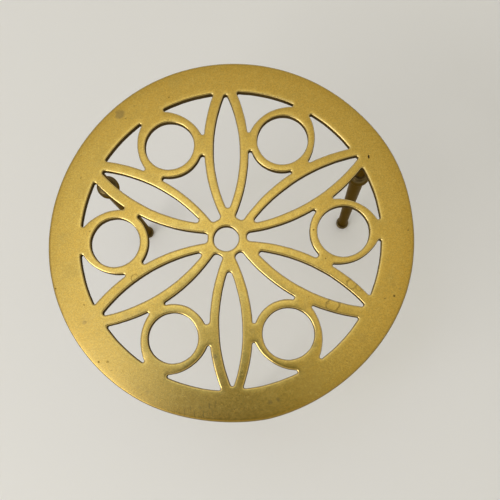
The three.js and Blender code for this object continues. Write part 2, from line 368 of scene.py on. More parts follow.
def rounded_opening(
    sides: Sequence[Side], corners: Sequence[tuple[float, np.ndarray]], spacing: float
) -> Outline:
    """An opening whose sides meet in rounded corners.

    Args:
        sides: The sides in order.
        corners: For the corner before each side, its rounding and a point near it.
        spacing: The longest step along the outline.

    Returns:
        The closed outline.
    """
    count = len(sides)
    centres = [
        rounding_centre(sides[i - 1], sides[i], rounding, near)
        for i, (rounding, near) in enumerate(corners)
    ]

    def touch(side: Side, centre: np.ndarray) -> np.ndarray:
        """Where a corner's circle touches a side."""
        step = centre - side.centre
        return side.centre + step * (side.radius / np.linalg.norm(step))

    parts = []
    for i, side in enumerate(sides):
        here, following = centres[i], centres[(i + 1) % count]
        leave = touch(side, here)
        parts.append(arc(here, touch(sides[i - 1], here), leave, -1, spacing))
        parts.append(arc(side.centre, leave, touch(side, following), side.solid, spacing))
    return Outline(
        np.concatenate([part.places for part in parts]),
        np.concatenate([part.into for part in parts]),
    )


# Meshes

@dataclass(frozen=True)
class Row:
    """One level of a wall's section.

    Attributes:
        back: How far the row lies back in the metal, in plan.
        height: Its height.
        edge: How far it lies from the bare edge, for the finish.
        wall: How much it belongs to a wall, from 0 to 1, and so how dark its painted shade and
            patina are.
        under: How much it belongs to the underside.
        bevel: How much it belongs to the filed edge, and so how much pale worn colour with a
            painted highlight it takes.
        hold: How far it follows the wobble of the edge.
    """

    back: float
    height: float
    edge: float = 0.0
    wall: float = 0.0
    under: float = 0.0
    bevel: float = 0.0
    hold: float = 1.0


class MeshDraft:
    """Collects rows of points and the faces between them, then makes a mesh object."""

    def __init__(self) -> None:
        """Starts empty."""
        self.points: list[np.ndarray] = []
        self.into: list[np.ndarray] = []
        self.values: dict[str, list[np.ndarray]] = {name: [] for name in POINT_VALUES}
        self.faces: list[tuple[int, ...]] = []
        self.count = 0

    def add_row(
        self, plan: np.ndarray, height: float, into: np.ndarray | None = None, **values: Any
    ) -> np.ndarray:
        """Adds points.

        Args:
            plan: Their places in plan, in millimetres.
            height: Their height.
            into: Where each may be pushed by the edge's wobble, in plan.
            **values: Point values by attribute name, one number or one for each.

        Returns:
            The points' numbers.
        """
        n = len(plan)
        self.points.append(np.column_stack([plan, np.broadcast_to(height, n)]))
        pushed = np.zeros((n, 2)) if into is None else into
        self.into.append(np.column_stack([pushed, np.zeros(n)]))
        for name, rows in self.values.items():
            rows.append(np.broadcast_to(values.get(name, 0.0), n).astype(float))
        first = self.count
        self.count += n
        return np.arange(first, first + n)

    def bridge(self, low: np.ndarray, high: np.ndarray, outward: bool) -> None:
        """Joins two closed anticlockwise rows with quads.

        Args:
            low: The numbers of the lower row's points.
            high: The numbers of the higher row's.
            outward: Whether the wall looks away from the inside of the rows.
        """
        for i in range(len(low)):
            j = (i + 1) % len(low)
            a, b = (i, j) if outward else (j, i)
            self.faces.append((int(low[a]), int(low[b]), int(high[b]), int(high[a])))

    def fill(
        self, rim: np.ndarray, holes: Sequence[np.ndarray], inner: np.ndarray, upward: bool
    ) -> None:
        """Closes a flat face with triangles.

        Args:
            rim: The numbers of the face's outer row.
            holes: The numbers of each hole's row.
            inner: The numbers of loose points inside the face.
            upward: Whether the face looks up.
        """
        everything = np.concatenate(self.points)[:, :2]
        loops = [rim, *holes]
        numbers = np.concatenate([*loops, inner]).astype(int)
        edges, start = [], 0
        for loop in loops:
            n = len(loop)
            edges += [(start + i, start + (i + 1) % n) for i in range(n)]
            start += n
        flat = [Vector(everything[i]) for i in numbers]
        found, _, faces, origin, _, _ = delaunay_2d_cdt(
            flat, edges, [], FILL_INSIDE, FILL_NEARNESS
        )
        number_of = [int(numbers[o[0]]) if o else -1 for o in origin]
        spots = np.array([p[:] for p in found])
        corners = np.array(faces)
        middles = spots[corners].mean(1)
        keep = np.ones(len(corners), bool)
        for hole in holes:
            keep &= ~inside(middles, everything[hole])
        for face in corners[keep]:
            a, b, c = (number_of[i] for i in face)
            if min(a, b, c) < 0:
                raise ValueError("the flat face's rows cross each other")
            p, q, r = everything[a], everything[b], everything[c]
            turn = (q[0] - p[0]) * (r[1] - p[1]) - (q[1] - p[1]) * (r[0] - p[0])
            self.faces.append((a, b, c) if (turn > 0) == upward else (a, c, b))

    def to_object(self, name: str) -> bpy.types.Object:
        """Makes the mesh object.

        Args:
            name: The name of mesh and object.

        Returns:
            The object, in metres, with the point values as attributes.
        """
        mesh = bpy.data.meshes.new(name)
        mesh.from_pydata((np.concatenate(self.points) * MM).tolist(), [], self.faces)
        for attribute, rows in self.values.items():
            layer = mesh.attributes.new(attribute, "FLOAT", "POINT")
            layer.data.foreach_set("value", np.concatenate(rows).astype(np.float32))
        layer = mesh.attributes.new("into", "FLOAT_VECTOR", "POINT")
        layer.data.foreach_set("vector", np.concatenate(self.into).astype(np.float32).ravel())
        mesh.shade_smooth()
        mesh.validate()
        return in_scene(name, mesh)


def inside(points: np.ndarray, loop: np.ndarray) -> np.ndarray:
    """Which points lie inside a closed loop.

    Args:
        points: The points, in plan.
        loop: The loop's points in order.

    Returns:
        True for each point inside.
    """
    result = np.zeros(len(points), bool)
    low, high = loop.min(0), loop.max(0)
    near = np.where(((points > low) & (points < high)).all(1))[0]
    if not len(near):
        return result
    x, y = points[near].T
    ax, ay = loop.T
    bx, by = np.roll(loop, -1, 0).T
    spans = (ay[None] > y[:, None]) != (by[None] > y[:, None])
    rise = np.where(by == ay, 1.0, by - ay)
    cross = ax + (y[:, None] - ay) * (bx - ax) / rise
    result[near] = (spans & (x[:, None] < cross)).sum(1) % 2 == 1
    return result


def distance_to(points: np.ndarray, edges: np.ndarray) -> np.ndarray:
    """How far points are from the nearest of many edge points.

    Args:
        points: The points, in plan.
        edges: The edge points.

    Returns:
        One distance for each point.
    """
    parts = np.array_split(points, max(1, len(points) // CHUNK))
    squares = [((part[:, None] - edges[None]) ** 2).sum(2).min(1) for part in parts]
    return np.sqrt(np.concatenate(squares))


def clamped(value: float) -> float:
    """A number brought to between 0 and 1."""
    return min(1.0, max(0.0, value))


def in_scene(name: str, data: Any) -> bpy.types.Object:
    """Makes an object and links it to the scene.

    Args:
        name: The object's name.
        data: Its mesh, light or camera.

    Returns:
        The object.
    """
    made = bpy.data.objects.new(name, data)
    bpy.context.scene.collection.objects.link(made)
    return made


def log_piece(piece: bpy.types.Object, node: str) -> None:
    """Logs a finished piece and the CAD node that it stands for."""
    log.info("piece %s for node %s, %d faces", piece.name, node, len(piece.data.polygons))


def baked_from(source: bpy.types.Object, name: str) -> bpy.types.Object:
    """Applies an object's modifiers.

    Args:
        source: The object, which is used up.
        name: The name of the result.

    Returns:
        A new object with a plain mesh.
    """
    depsgraph = bpy.context.evaluated_depsgraph_get()
    mesh = bpy.data.meshes.new_from_object(
        source.evaluated_get(depsgraph), preserve_all_data_layers=True, depsgraph=depsgraph
    )
    source.modifiers.clear()
    bpy.data.objects.remove(source)
    mesh.name = name
    return in_scene(name, mesh)


class Tool:
    """A geometry node tree with named inputs, and the modifier that runs it."""

    def __init__(self, name: str, **inputs: str) -> None:
        """Makes the tree.

        Args:
            name: The tree's name.
            **inputs: The kind of socket of each input after the geometry; underscores
                stand for the spaces of an input's name.
        """
        self.tree = bpy.data.node_groups.new(name, "GeometryNodeTree")
        self.graph = Graph(self.tree)
        sockets = [("Geometry", "INPUT", "Geometry")]
        sockets += [(label.replace("_", " "), "INPUT", kind) for label, kind in inputs.items()]
        sockets += [("Geometry", "OUTPUT", "Geometry")]
        for label, way, kind in sockets:
            self.tree.interface.new_socket(label, in_out=way, socket_type="NodeSocket" + kind)
        self.entry = self.tree.nodes.new("NodeGroupInput")

    def given(self, name: str) -> Wire:
        """The wire of one named input."""
        return Wire(self.graph, self.entry.outputs[name])

    def close(self, geometry: Wire) -> None:
        """Ends the tree in Realize Instances and Set Material.

        Args:
            geometry: What the tree has made.
        """
        whole = self.graph.add("GeometryNodeRealizeInstances", inputs={"Geometry": geometry})
        inputs = {"Geometry": whole, "Material": self.given("Material")}
        dressed = self.graph.add("GeometryNodeSetMaterial", inputs=inputs)
        self.graph.add("NodeGroupOutput", inputs={0: dressed})

    def run(self, source: bpy.types.Object, name: str, **values: Any) -> bpy.types.Object:
        """Runs the tree on an object.

        Args:
            source: The object that the tree starts from, which is used up.
            name: The name of the result.
            **values: Input values; underscores stand for the spaces of an input's name.

        Returns:
            A new object with the plain resulting mesh.
        """
        modifier = source.modifiers.new(self.tree.name, "NODES")
        modifier.node_group = self.tree
        for item in self.tree.interface.items_tree:
            key = item.name.replace(" ", "_")
            if item.in_out == "INPUT" and key in values:
                modifier[item.identifier] = values[key]
        return baked_from(source, name)


# Finishes

class Marks(Enum):
    """How a surface was worked."""

    RUBBED = "rubbed by hand in all directions"
    TURNED = "turned on a lathe"


class Stain(Enum):
    """What a single mark on the plate is."""

    PATCH = "a dull patch"
    RING = "a faint ring left by a drop"
    DOT = "a dark dot"
    PIT = "a short dark pit"
    STREAK = "a faint streak from front to rear"


# The scale from front to rear of the kinds of marks that are longer in that direction
DRAWN_OUT = {Stain.PIT: 0.42, Stain.STREAK: 0.2}
# Where the marks' edges fade, and how far they wander, as shares of a mark's radius
RING_INNER, RING_OUTER, SPOT_EDGE = (0.72, 0.9), (1.15, 0.95), (1.0, 0.45)
WANDER = 0.9


@dataclass(frozen=True)
class Mark:
    """One stain on the plate's top.

    Attributes:
        kind: What it is.
        x: Its place to the right of the rim's centre, in millimetres.
        y: Its place to the rear of the rim's centre.
        radius: Its radius.
        strength: How far it changes the metal, from 0 to 1.
    """

    kind: Stain
    x: float
    y: float
    radius: float
    strength: float

    def mask(self, graph: Graph, place: Wire, wobble: Wire) -> Wire:
        """Where the mark lies.

        Args:
            graph: The graph to add to.
            place: Coordinates in millimetres.
            wobble: Noise that makes its edge uneven.

        Returns:
            Its strength there, and 0 elsewhere.
        """
        offset = graph.vector("SUBTRACT", place, (self.x, self.y, 0.0))
        flat = graph.scaled(offset, (1.0, DRAWN_OUT.get(self.kind, 1.0), 0.0))
        far = graph.vector("LENGTH", flat, output="Value")
        far = far + (wobble - 0.5) * (WANDER * self.radius)

        def edge(start: float, end: float) -> Wire:
            """A fade between two shares of the radius."""
            return far.fade(start * self.radius, end * self.radius)

        ring = self.kind is Stain.RING
        spot = edge(*RING_INNER) * edge(*RING_OUTER) if ring else edge(*SPOT_EDGE)
        return spot * self.strength


@dataclass(frozen=True)
class BrassFinish:
    """Worn brass.

    Attributes:
        name: The material's name.
        marks: How the surface was worked.
        body: The metal's main colour.
        pale: Its colour where it is rubbed pale.
        warm: Its colour where it is toned reddish gold.
        olive: Its colour where it is dull.
        tarnish_and_shade: The colour of dark marks and of the underside, and of walls, where it is
            painted shade together with patina.
        roughness: The roughness of the bare faces.
        grazing: The tint of reflections at a flat angle.
        bloom: The colour of dull patches on a rubbed face.
        worn_edge_and_glint: The colour of a rubbed face's filed edges: paler worn brass with a
            painted highlight.
        stains: Single marks on a rubbed face.
    """

    name: str
    marks: Marks
    body: Triple
    pale: Triple
    warm: Triple
    olive: Triple
    tarnish_and_shade: Triple
    roughness: float
    grazing: Triple
    bloom: Triple = (0.27, 0.185, 0.06)
    worn_edge_and_glint: Triple = (0.66, 0.49, 0.19)
    stains: tuple[Mark, ...] = ()

    def stain_masks(self, graph: Graph, place: Wire) -> dict[Stain, Any]:
        """Finds where the single marks lie.

        Args:
            graph: The graph to add to.
            place: Coordinates in millimetres.

        Returns:
            One mask for each kind of mark.
        """
        wobble = graph.noise(place, 0.55, 3.0, 11.0)
        masks: dict[Stain, Any] = dict.fromkeys(Stain, 0.0)
        for mark in self.stains:
            mask = mark.mask(graph, place, wobble)
            masks[mark.kind] = graph.math("MAXIMUM", masks[mark.kind], mask)
        return masks

    def build(self) -> bpy.types.Material:
        """Makes the material.

        Returns:
            The material, which reads the mesh's point values.
        """
        material = bpy.data.materials.new(self.name)
        material.use_nodes = True
        graph = Graph(material.node_tree)
        where = graph.add("ShaderNodeTexCoord", output="Object")
        place = graph.stretched(where, 1 / MM)
        colour, metallic, roughness, height = (
            self.rubbed(graph, place) if self.marks is Marks.RUBBED else self.turned(graph, place)
        )
        bump = graph.add("ShaderNodeBump", inputs={"Height": height, "Distance": MM})
        shader = graph.add(
            "ShaderNodeBsdfPrincipled",
            inputs={
                "Base Color": colour,
                "Metallic": metallic,
                "Roughness": roughness,
                "Specular IOR Level": 0.0,
                "Specular Tint": (*self.grazing, 1.0),
                "Normal": bump,
            },
        )
        graph.add("ShaderNodeOutputMaterial", inputs={"Surface": shader})
        log.info("finish %s: %s", self.name, self.marks.value)
        return material

    def rubbed(self, graph: Graph, place: Wire) -> tuple[Wire, Wire, Wire, Wire]:
        """The plate's worn brass, with painted shade on its walls and a painted highlight on its
        filed edges.

        Args:
            graph: The graph to add to.
            place: Coordinates in millimetres.

        Returns:
            Colour, metallic share, roughness and height in millimetres.
        """
        edge, wall, under, bevel = (graph.attribute(name) for name in POINT_VALUES)
        broad = graph.noise(place, 0.022, 3.0)
        cloud = graph.noise(place, 0.07, 4.0, 31.0)
        mottle = graph.noise(place, 0.42, 5.0, 7.0)
        fleck = graph.noise(place, 1.2, 2.0, 43.0)
        tone = graph.noise(place, 0.8, 2.0, 61.0)
        grain = graph.noise(place, 2.6, 3.0, 3.0)
        rub = (
            graph.scratches(place, 24.0, 0.35, 13.0)
            + graph.scratches(place, -51.0, 0.3, 9.0)
            + graph.scratches(place, 83.0, 0.4, 16.0)
        ) / 3.0
        line = graph.math(
            "MAXIMUM",
            graph.scratches(place, 67.0, 0.14, 7.0).fade(0.69, 0.76),
            graph.scratches(place, -18.0, 0.12, 9.0).fade(0.69, 0.76),
        )
        cells = {"Vector": place, "Scale": 0.19, "Randomness": 1.0}
        speck = graph.add("ShaderNodeTexVoronoi", {"feature": "F1"}, cells, "Distance")
        speck = speck.fade(0.11, 0.04) * graph.noise(place, 0.06, 1.0, 19.0).fade(0.5, 0.58)
        masks = self.stain_masks(graph, place)
        dull = cloud.fade(0.5, 0.74)
        worn = edge.fade(2.2, 0.0) * (1.0 - wall)
        dark = speck * 0.4
        for kind in (Stain.RING, Stain.DOT, Stain.PIT):
            dark = graph.math("MAXIMUM", dark, masks[kind])
        sides = graph.math("MAXIMUM", wall, under)
        stripes = graph.noise(graph.scaled(place, (1.6, 1.6, 0.12)), 1.0, 3.0, 5.0)

        colour = graph.layered(
            self.body,
            (broad.fade(0.35, 0.68), self.warm),
            (dull * 0.55, self.olive),
            (mottle.fade(0.44, 0.64) * 0.3, self.pale),
            (fleck.fade(0.48, 0.6) * 0.4, self.olive),
            (tone.fade(0.48, 0.62) * 0.5, self.warm),
            (grain.fade(0.45, 0.7) * 0.5, self.olive),
            (grain.fade(0.48, 0.28) * 0.4, self.pale),
            (worn * 0.35, self.pale),
            # Painted highlight: filed edges take a pale cream colour so that their highlights read
            # creamy, over paler worn brass.
            (bevel * (0.35 + mottle), self.worn_edge_and_glint),
            (rub.fade(0.5, 0.7) * 0.18, self.pale),
        )
        colour = graph.layered(
            graph.stretched(colour, 1.0 + (0.5 - fleck) * 0.36 + (0.5 - tone) * 0.24),
            (dark, self.tarnish_and_shade),
            (masks[Stain.PATCH], self.bloom),
            (masks[Stain.STREAK], self.bloom),
            # Painted shade: walls and steep facets take the dark colour, standing for the shade
            # inside the openings together with patina; the underside and sockets take the same dark
            # colour.
            (sides * 0.94, graph.mix(stripes.fade(0.35, 0.75) * 0.14, self.tarnish_and_shade, self.bloom)),
        )
        roughness = (
            self.roughness
            + dull * 0.04
            + (mottle - 0.5) * 0.05
            + (grain - 0.5) * 0.08
            + (rub - 0.5) * 0.08
            - worn * 0.05
            + dark * 0.25
            + sides * 0.22
        )
        height = (
            (rub - 0.5) * 0.0014
            + (mottle - 0.5) * 0.0022
            + (grain - 0.5) * 0.0008
            - line * 0.003
            - speck * 0.02
            + (stripes - 0.5) * sides * 0.05
            - masks[Stain.PIT] * 0.25
        )
        metallic = 1.0 - graph.math("MAXIMUM", sides * 0.9, dark * 0.5)
        return colour, metallic, roughness, height

    def turned(self, graph: Graph, place: Wire) -> tuple[Wire, Wire, Wire, Wire]:
        """The leg's brass, darkened by its patina and by painted shade from the plate above.

        Args:
            graph: The graph to add to.
            place: Coordinates in millimetres.

        Returns:
            Colour, metallic share, roughness and height in millimetres.
        """
        cloud = graph.noise(place, 0.05, 4.0, 13.0)
        mottle = graph.noise(place, 0.5, 5.0, 2.0)
        fine = graph.noise(graph.scaled(place, (0.06, 0.06, 5.0)), 1.0, 3.0, 9.0)
        broad = graph.noise(graph.scaled(place, (0.03, 0.03, 0.9)), 1.0, 2.0, 4.0)
        handled = graph.attribute("girth").fade(5.2, 6.8)
        blotch = mottle.fade(0.5, 0.72)
        colour = graph.layered(
            self.body,
            (cloud.fade(0.4, 0.68), self.olive),
            (blotch * 0.45, self.tarnish_and_shade),
            (broad.fade(0.5, 0.7) * 0.3, self.warm),
            (handled * 0.55, self.pale),
            (fine.fade(0.58, 0.75) * 0.25, self.tarnish_and_shade),
        )
        roughness = self.roughness + (mottle - 0.5) * 0.16 + (fine - 0.5) * 0.1 - handled * 0.06
        height = (fine - 0.5) * 0.016 + (broad - 0.5) * 0.02 + (mottle - 0.5) * 0.012
        metallic = 0.72 + handled * 0.25 - blotch * 0.2
        return colour, metallic, roughness, height


# The stains of each kind: x, y, radius and strength
STAINS: dict[Stain, tuple[tuple[float, float, float, float], ...]] = {
    Stain.PATCH: (
        (-59.4, 72.9, 3.7, 0.7), (-79.5, -43.8, 1.7, 0.4), (-78.6, -42.6, 5.0, 0.1),
        (-46.0, -81.7, 1.6, 0.22), (68.9, -58.6, 3.4, 0.16), (90.1, -33.1, 1.0, 0.3),
        (92.4, 3.6, 2.6, 0.16), (22.6, -88.4, 1.4, 0.45), (-10.1, -65.0, 1.7, 0.5),
        (-61.3, -25.9, 1.4, 0.25), (-70.7, -73.1, 1.2, 0.2), (-51.3, -79.4, 1.4, 0.2),
        (86.9, -31.1, 1.5, 0.22), (43.0, -61.0, 2.0, 0.35), (10.6, -52.0, 1.5, 0.2),
        (18.4, -89.6, 1.6, 0.45), (-35.9, -35.2, 2.2, 0.3), (39.7, -40.3, 2.0, 0.15),
        (-17.0, 13.8, 1.6, 0.4),
    ),
    Stain.RING: (
        (-52.0, -20.9, 2.2, 0.3), (54.0, -40.3, 3.7, 0.42), (64.7, -29.5, 2.6, 0.35),
        (68.4, -31.6, 1.8, 0.35),
    ),
    Stain.DOT: (
        (-95.5, -24.7, 0.6, 0.8), (-71.9, -65.2, 0.7, 0.45), (-67.2, -65.3, 1.0, 0.3),
        (81.7, -38.1, 0.5, 0.5), (-31.5, 81.4, 0.7, 0.4), (96.8, -1.6, 0.6, 0.5),
        (46.0, 1.1, 0.6, 0.5), (86.7, -36.9, 0.8, 0.7), (-0.8, -93.6, 0.75, 0.5),
        (0.8, -93.1, 0.75, 0.5), (3.2, -92.8, 0.7, 0.45), (5.7, -92.4, 0.75, 0.5),
        (10.5, -92.4, 0.65, 0.4),
    ),
    Stain.PIT: ((78.4, 40.5, 0.68, 1.0),),
    Stain.STREAK: (
        (-26.6, -92.8, 0.45, 0.4), (-23.5, -91.0, 0.4, 0.35), (-21.6, -93.8, 0.45, 0.45),
        (-18.5, -91.1, 0.4, 0.4), (-16.8, -94.6, 0.45, 0.45), (-13.5, -90.0, 0.5, 0.45),
        (-12.0, -94.0, 0.4, 0.35), (-10.2, -89.4, 0.4, 0.35),
    ),
}
PLATE_BRASS = BrassFinish(
    name="worn_plate_brass",
    marks=Marks.RUBBED,
    body=(0.525, 0.337, 0.062),
    pale=(0.60, 0.42, 0.105),
    warm=(0.53, 0.325, 0.055),
    olive=(0.43, 0.295, 0.066),
    tarnish_and_shade=(0.034, 0.021, 0.009),
    roughness=0.22,
    grazing=(0.95, 0.88, 0.7),
    stains=tuple(Mark(kind, *spot) for kind, spots in STAINS.items() for spot in spots),
)
# Painted shade: the legs' colours are darkened to stand for the shade under the plate, together
# with their patina.
SHADED_LEG_BRASS = BrassFinish(
    name="turned_leg_brass",
    marks=Marks.TURNED,
    body=(0.085, 0.062, 0.028),
    pale=(0.17, 0.122, 0.048),
    warm=(0.105, 0.071, 0.027),
    olive=(0.06, 0.046, 0.024),
    tarnish_and_shade=(0.03, 0.022, 0.012),
    roughness=0.38,
    grazing=(0.45, 0.36, 0.22),
)


# The plate

@dataclass(frozen=True)
class EdgeCut:
    """How one kind of edge of the plate is worked.

    Attributes:
        under: The radius of the lower edge, in millimetres.
        facets: The upper edge from the wall to the top: the width in plan and the slope in
            degrees of each facet.
        sides: How far its wall takes the dark colour of painted shade and patina, from 0 to 1.
        darkened_slopes: The slopes in degrees between which its facets darken to that, as painted
            shade together with patina.
        shine: How much of the pale worn colour with its painted highlight its upper edge takes.
        follow: How far it follows the wobble of hand-cut edges.
    """

    under: float
    facets: tuple[Pair, ...]
    sides: float
    darkened_slopes: Pair
    shine: float
    follow: float


@dataclass(frozen=True)
class Petal:
    """A pointed opening between two curved bars.

    Attributes:
        direction: Its axis's direction, in degrees.
        root: Where its opening ends at the hub, as a share of the rim's inner radius.
        tip: Where it ends at the rim, such a share.
        half_opening: Half the opening's width, such a share.
        bar: The width of its bars, such a share.
        aside: How far the opening lies to the left of the axis, in millimetres.
    """

    direction: float
    root: float
    tip: float
    half_opening: float
    bar: float
    aside: float


@dataclass(frozen=True)
class Ring:
    """A ring between two petals, with a neck to the rim.

    Each pair has a value for the ring's right and one for its left. Distance, bore and
    necks are shares of the rim's inner radius. Other lengths are in millimetres.

    Attributes:
        direction: Its direction from the rosette's centre, in degrees.
        distance: Its distance from there.
        bore: The radius of its hole.
        rise: How much farther from the hub the opening between them begins.
        necks: Half the width of its neck.
        shorts: How far the openings beside it stop short of the rim's inner radius.
        swells: How much fuller its shoulders are.
        crooks: The roundings of the corners that it makes with the petals towards the hub.
        webs: How much thicker the petals are beside the openings at the rim.
        leans: How far their edges there turn about their corners with the ring, in degrees.
        gap_webs: How much thicker the petals are beside the opening towards the hub.
    """

    direction: float
    distance: float
    bore: float
    rise: float
    necks: Pair
    shorts: Pair
    swells: Pair
    crooks: Pair
    webs: Pair
    leans: Pair
    gap_webs: Pair


@dataclass
class RosettePlate:
    """The pierced plate: rim, petals, rings and hub in one piece.

    Lengths are in millimetres. The hub's and the rings' radii, the ends of the petals'
    outlines and the centres are shares of the rim's inner radius.

    Attributes:
        node: The CAD node that the piece stands for.
        height: The level of its top.
        radius: Its radius.
        thickness: Its thickness.
        rim_width: The rim's width.
        rim_edge: How the rim's outer edge is worn.
        filed_edge: How the openings' edges are filed.
        rim_flats: Where the rim is out of round: the direction, how far it is drawn in, or
            let out where that is below 0, and the half spread in degrees.
        spacing: The longest step along an outline.
        lower_edge_steps: Steps round a wall's lower edge.
        lower_edge_under: How much the wall's lowest row belongs to the underside.
        wall_levels: The rows of a wall, as shares of its height.
        worn_and_glint_slopes: The slopes in degrees between which an upper edge takes the pale worn
            colour with its painted highlight.
        held_width: How far from the wall the wobble of hand-cut edges ends.
        edge_start: How far from the wall the wear of an edge begins.
        grid_step: The step between the top's loose points.
        grid_inset: How far those stay from the rim's edge.
        grid_clearance: How far they stay from a filed edge.
        hub: The hub's radius.
        hub_bore: The radius of its hole.
        hub_hole_shift: How far the hole lies aside.
        ring_hub_side: A ring's outer radius towards the hub.
        ring_shoulder: Half its width at the shoulders.
        ring_shoulder_inward: How much nearer to the hub than its centre the shoulders are.
        petal_outline: Where a petal's outer edges meet.
        petal_roundings: The roundings of the ends of its opening.
        hub_corner_rounding: The rounding of corners at the hub.
        sharp_corner_rounding: The rounding of the corners of openings at the rim.
        gap_corner_turn: How far from a ring's axis its corners towards the hub are, in
            degrees.
        crook_corner_turn: The same for the corners between it and the petals, on the rim's
            side.
        rim_corner_turn: How far from the axes of ring and petal the corners at the rim are.
        rosette_centre: The rosette's centre.
        hub_centre: The hub's centre.
        leg_inset: How far the legs' axes lie from the rim's edge.
        leg_directions: The legs' directions, in degrees.
        socket_radius: The radius of a leg's socket.
        socket_depth: Its depth.
        petals: The petals, each on the left of the ring with the same number.
        rings: The rings.
        finish: Its brass.
    """

    node: str = "rosette_plate"
    height: float = 192.0
    radius: float = 100.0
    thickness: float = 4.5
    rim_width: float = 17.1
    rim_edge: EdgeCut = EdgeCut(
        under=0.6,
        facets=(
            (0.05, 79), (0.07, 66), (0.1, 52), (0.13, 41), (0.15, 30), (0.16, 20), (0.2, 11),
            (0.3, 5), (0.5, 2),
        ),
        sides=0.8,
        darkened_slopes=(14.0, 45.0),
        shine=0.6,
        follow=0.3,
    )
    filed_edge: EdgeCut = EdgeCut(
        under=0.35,
        facets=(
            (0.04, 78), (0.06, 60), (0.08, 46), (0.14, 34), (0.2, 26), (0.26, 18), (0.22, 9),
            (0.2, 3),
        ),
        sides=1.0,
        darkened_slopes=(28.0, 52.0),
        shine=1.0,
        follow=1.0,
    )
    rim_flats: tuple[Triple, ...] = (
        (150.0, 0.9, 45.0),
        (262.0, 0.8, 26.0),
        (308.0, 1.05, 38.0),
        (24.0, -0.6, 23.0),
    )
    spacing: float = 0.9
    lower_edge_steps: int = 4
    lower_edge_under: float = 0.5
    wall_levels: Triple = (0.35, 0.7, 1.0)
    worn_and_glint_slopes: Pair = (6.0, 18.0)
    held_width: float = 1.4
    edge_start: float = 0.5
    grid_step: float = 2.5
    grid_inset: float = 5.6
    grid_clearance: float = 0.8
    hub: float = 0.1291
    hub_bore: float = 0.0801
    hub_hole_shift: Pair = (-0.4, -0.1)
    ring_hub_side: float = 0.2244
    ring_shoulder: float = 0.2183
    ring_shoulder_inward: float = 0.0314
    petal_outline: Pair = (0.047, 1.159)
    petal_roundings: Pair = (1.2, 0.9)
    hub_corner_rounding: float = 1.8
    sharp_corner_rounding: float = 0.6
    gap_corner_turn: float = 15.0
    crook_corner_turn: float = 18.0
    rim_corner_turn: float = 4.0
    rosette_centre: Pair = (-0.0072, -0.0097)
    hub_centre: Pair = (-0.0169, -0.0157)
    leg_inset: float = 9.6
    leg_directions: Triple = (30.0, 150.0, 270.0)
    socket_radius: float = 3.7
    socket_depth: float = 3.0
    petals: tuple[Petal, ...] = (
        Petal(29.8, 0.181, 1.03, 0.0796, 0.0663, 0.0),
        Petal(89.3, 0.181, 1.004, 0.0856, 0.0639, -0.1),
        Petal(149.9, 0.203, 0.982, 0.0712, 0.076, -0.5),
        Petal(209.7, 0.187, 0.972, 0.0748, 0.0712, -0.3),
        Petal(269.7, 0.203, 0.98, 0.0724, 0.0676, -0.2),
        Petal(330.1, 0.203, 1.001, 0.0736, 0.0712, 0.35),
    )
    rings: tuple[Ring, ...] = (
        Ring(
            0.4, 0.755, 0.166, 0.5, (0.034, 0.039), (0.9, 0.7), (0.0, 0.4),
            (1.2, 0.75), (0.3, 0.3), (0.0, 0.0), (0.1, 0.1),
        ),
        Ring(
            59.2, 0.755, 0.1665, 2.1, (0.068, 0.043), (0.6, 0.3), (0.4, 0.5),
            (0.6, 0.7), (0.3, 0.4), (0.2, 0.2), (0.0, 0.1),
        ),
        Ring(
            120.1, 0.75, 0.1628, 1.1, (0.07, 0.052), (0.8, 0.8), (0.8, 0.6),
            (1.1, 0.85), (0.7, 0.2), (-0.4, 0.2), (0.2, -0.4),
        ),
        Ring(
            179.9, 0.75, 0.1604, 0.1, (0.068, -0.006), (1.2, 0.8), (0.6, -0.1),
            (0.65, 1.0), (0.0, 0.4), (0.0, 0.2), (-0.4, 0.1),
        ),
        Ring(
            239.5, 0.747, 0.1592, -0.5, (0.034, 0.028), (0.7, 0.2), (0.0, 0.5),
            (0.6, 1.4), (0.0, 0.5), (-1.1, -1.1), (0.0, 0.1),
        ),
        Ring(
            299.4, 0.741, 0.163, -0.5, (0.024, 0.052), (0.9, 0.6), (0.0, 0.2),
            (0.75, 0.8), (0.0, 0.5), (-2.2, -0.2), (0.2, 0.5),
        ),
    )
    finish: BrassFinish = PLATE_BRASS

    @property
    def rim_inner(self) -> float:
        """The rim's inner radius."""
        return self.radius - self.rim_width

    def share(self, value: float) -> float:
        """A length given as a share of the rim's inner radius."""
        return value * self.rim_inner

    @property
    def rosette(self) -> np.ndarray:
        """The rosette's centre."""
        return np.array(self.rosette_centre) * self.rim_inner

    @property
    def hub_middle(self) -> np.ndarray:
        """The hub's centre."""
        return np.array(self.hub_centre) * self.rim_inner

    def at(self, share: float, direction: float) -> np.ndarray:
        """The place at a share of the rim's inner radius from the rosette's centre."""
        return polar(self.rosette, self.share(share), direction)

    def lens(self, direction: float, ends: Pair, half: float, solid: int) -> list[Side]:
        """The two sides of a pointed lens on a petal's axis.

        Args:
            direction: The axis's direction, in degrees.
            ends: Where the sides meet, in shares of the rim's inner radius.
            half: Half the lens's width, as such a share.
            solid: 1 where the metal fills the lens, else -1.

        Returns:
            The side to the left of the axis and the one to its right.
        """
        middle = self.at(sum(ends) / 2, direction)
        half_length = self.share(ends[1] - ends[0]) / 2
        half_width = self.share(half)
        radius = (half_length**2 + half_width**2) / (2 * half_width)
        return [
            Side(polar(middle, radius - half_width, direction + turn), radius, solid)
            for turn in (-90, 90)
        ]

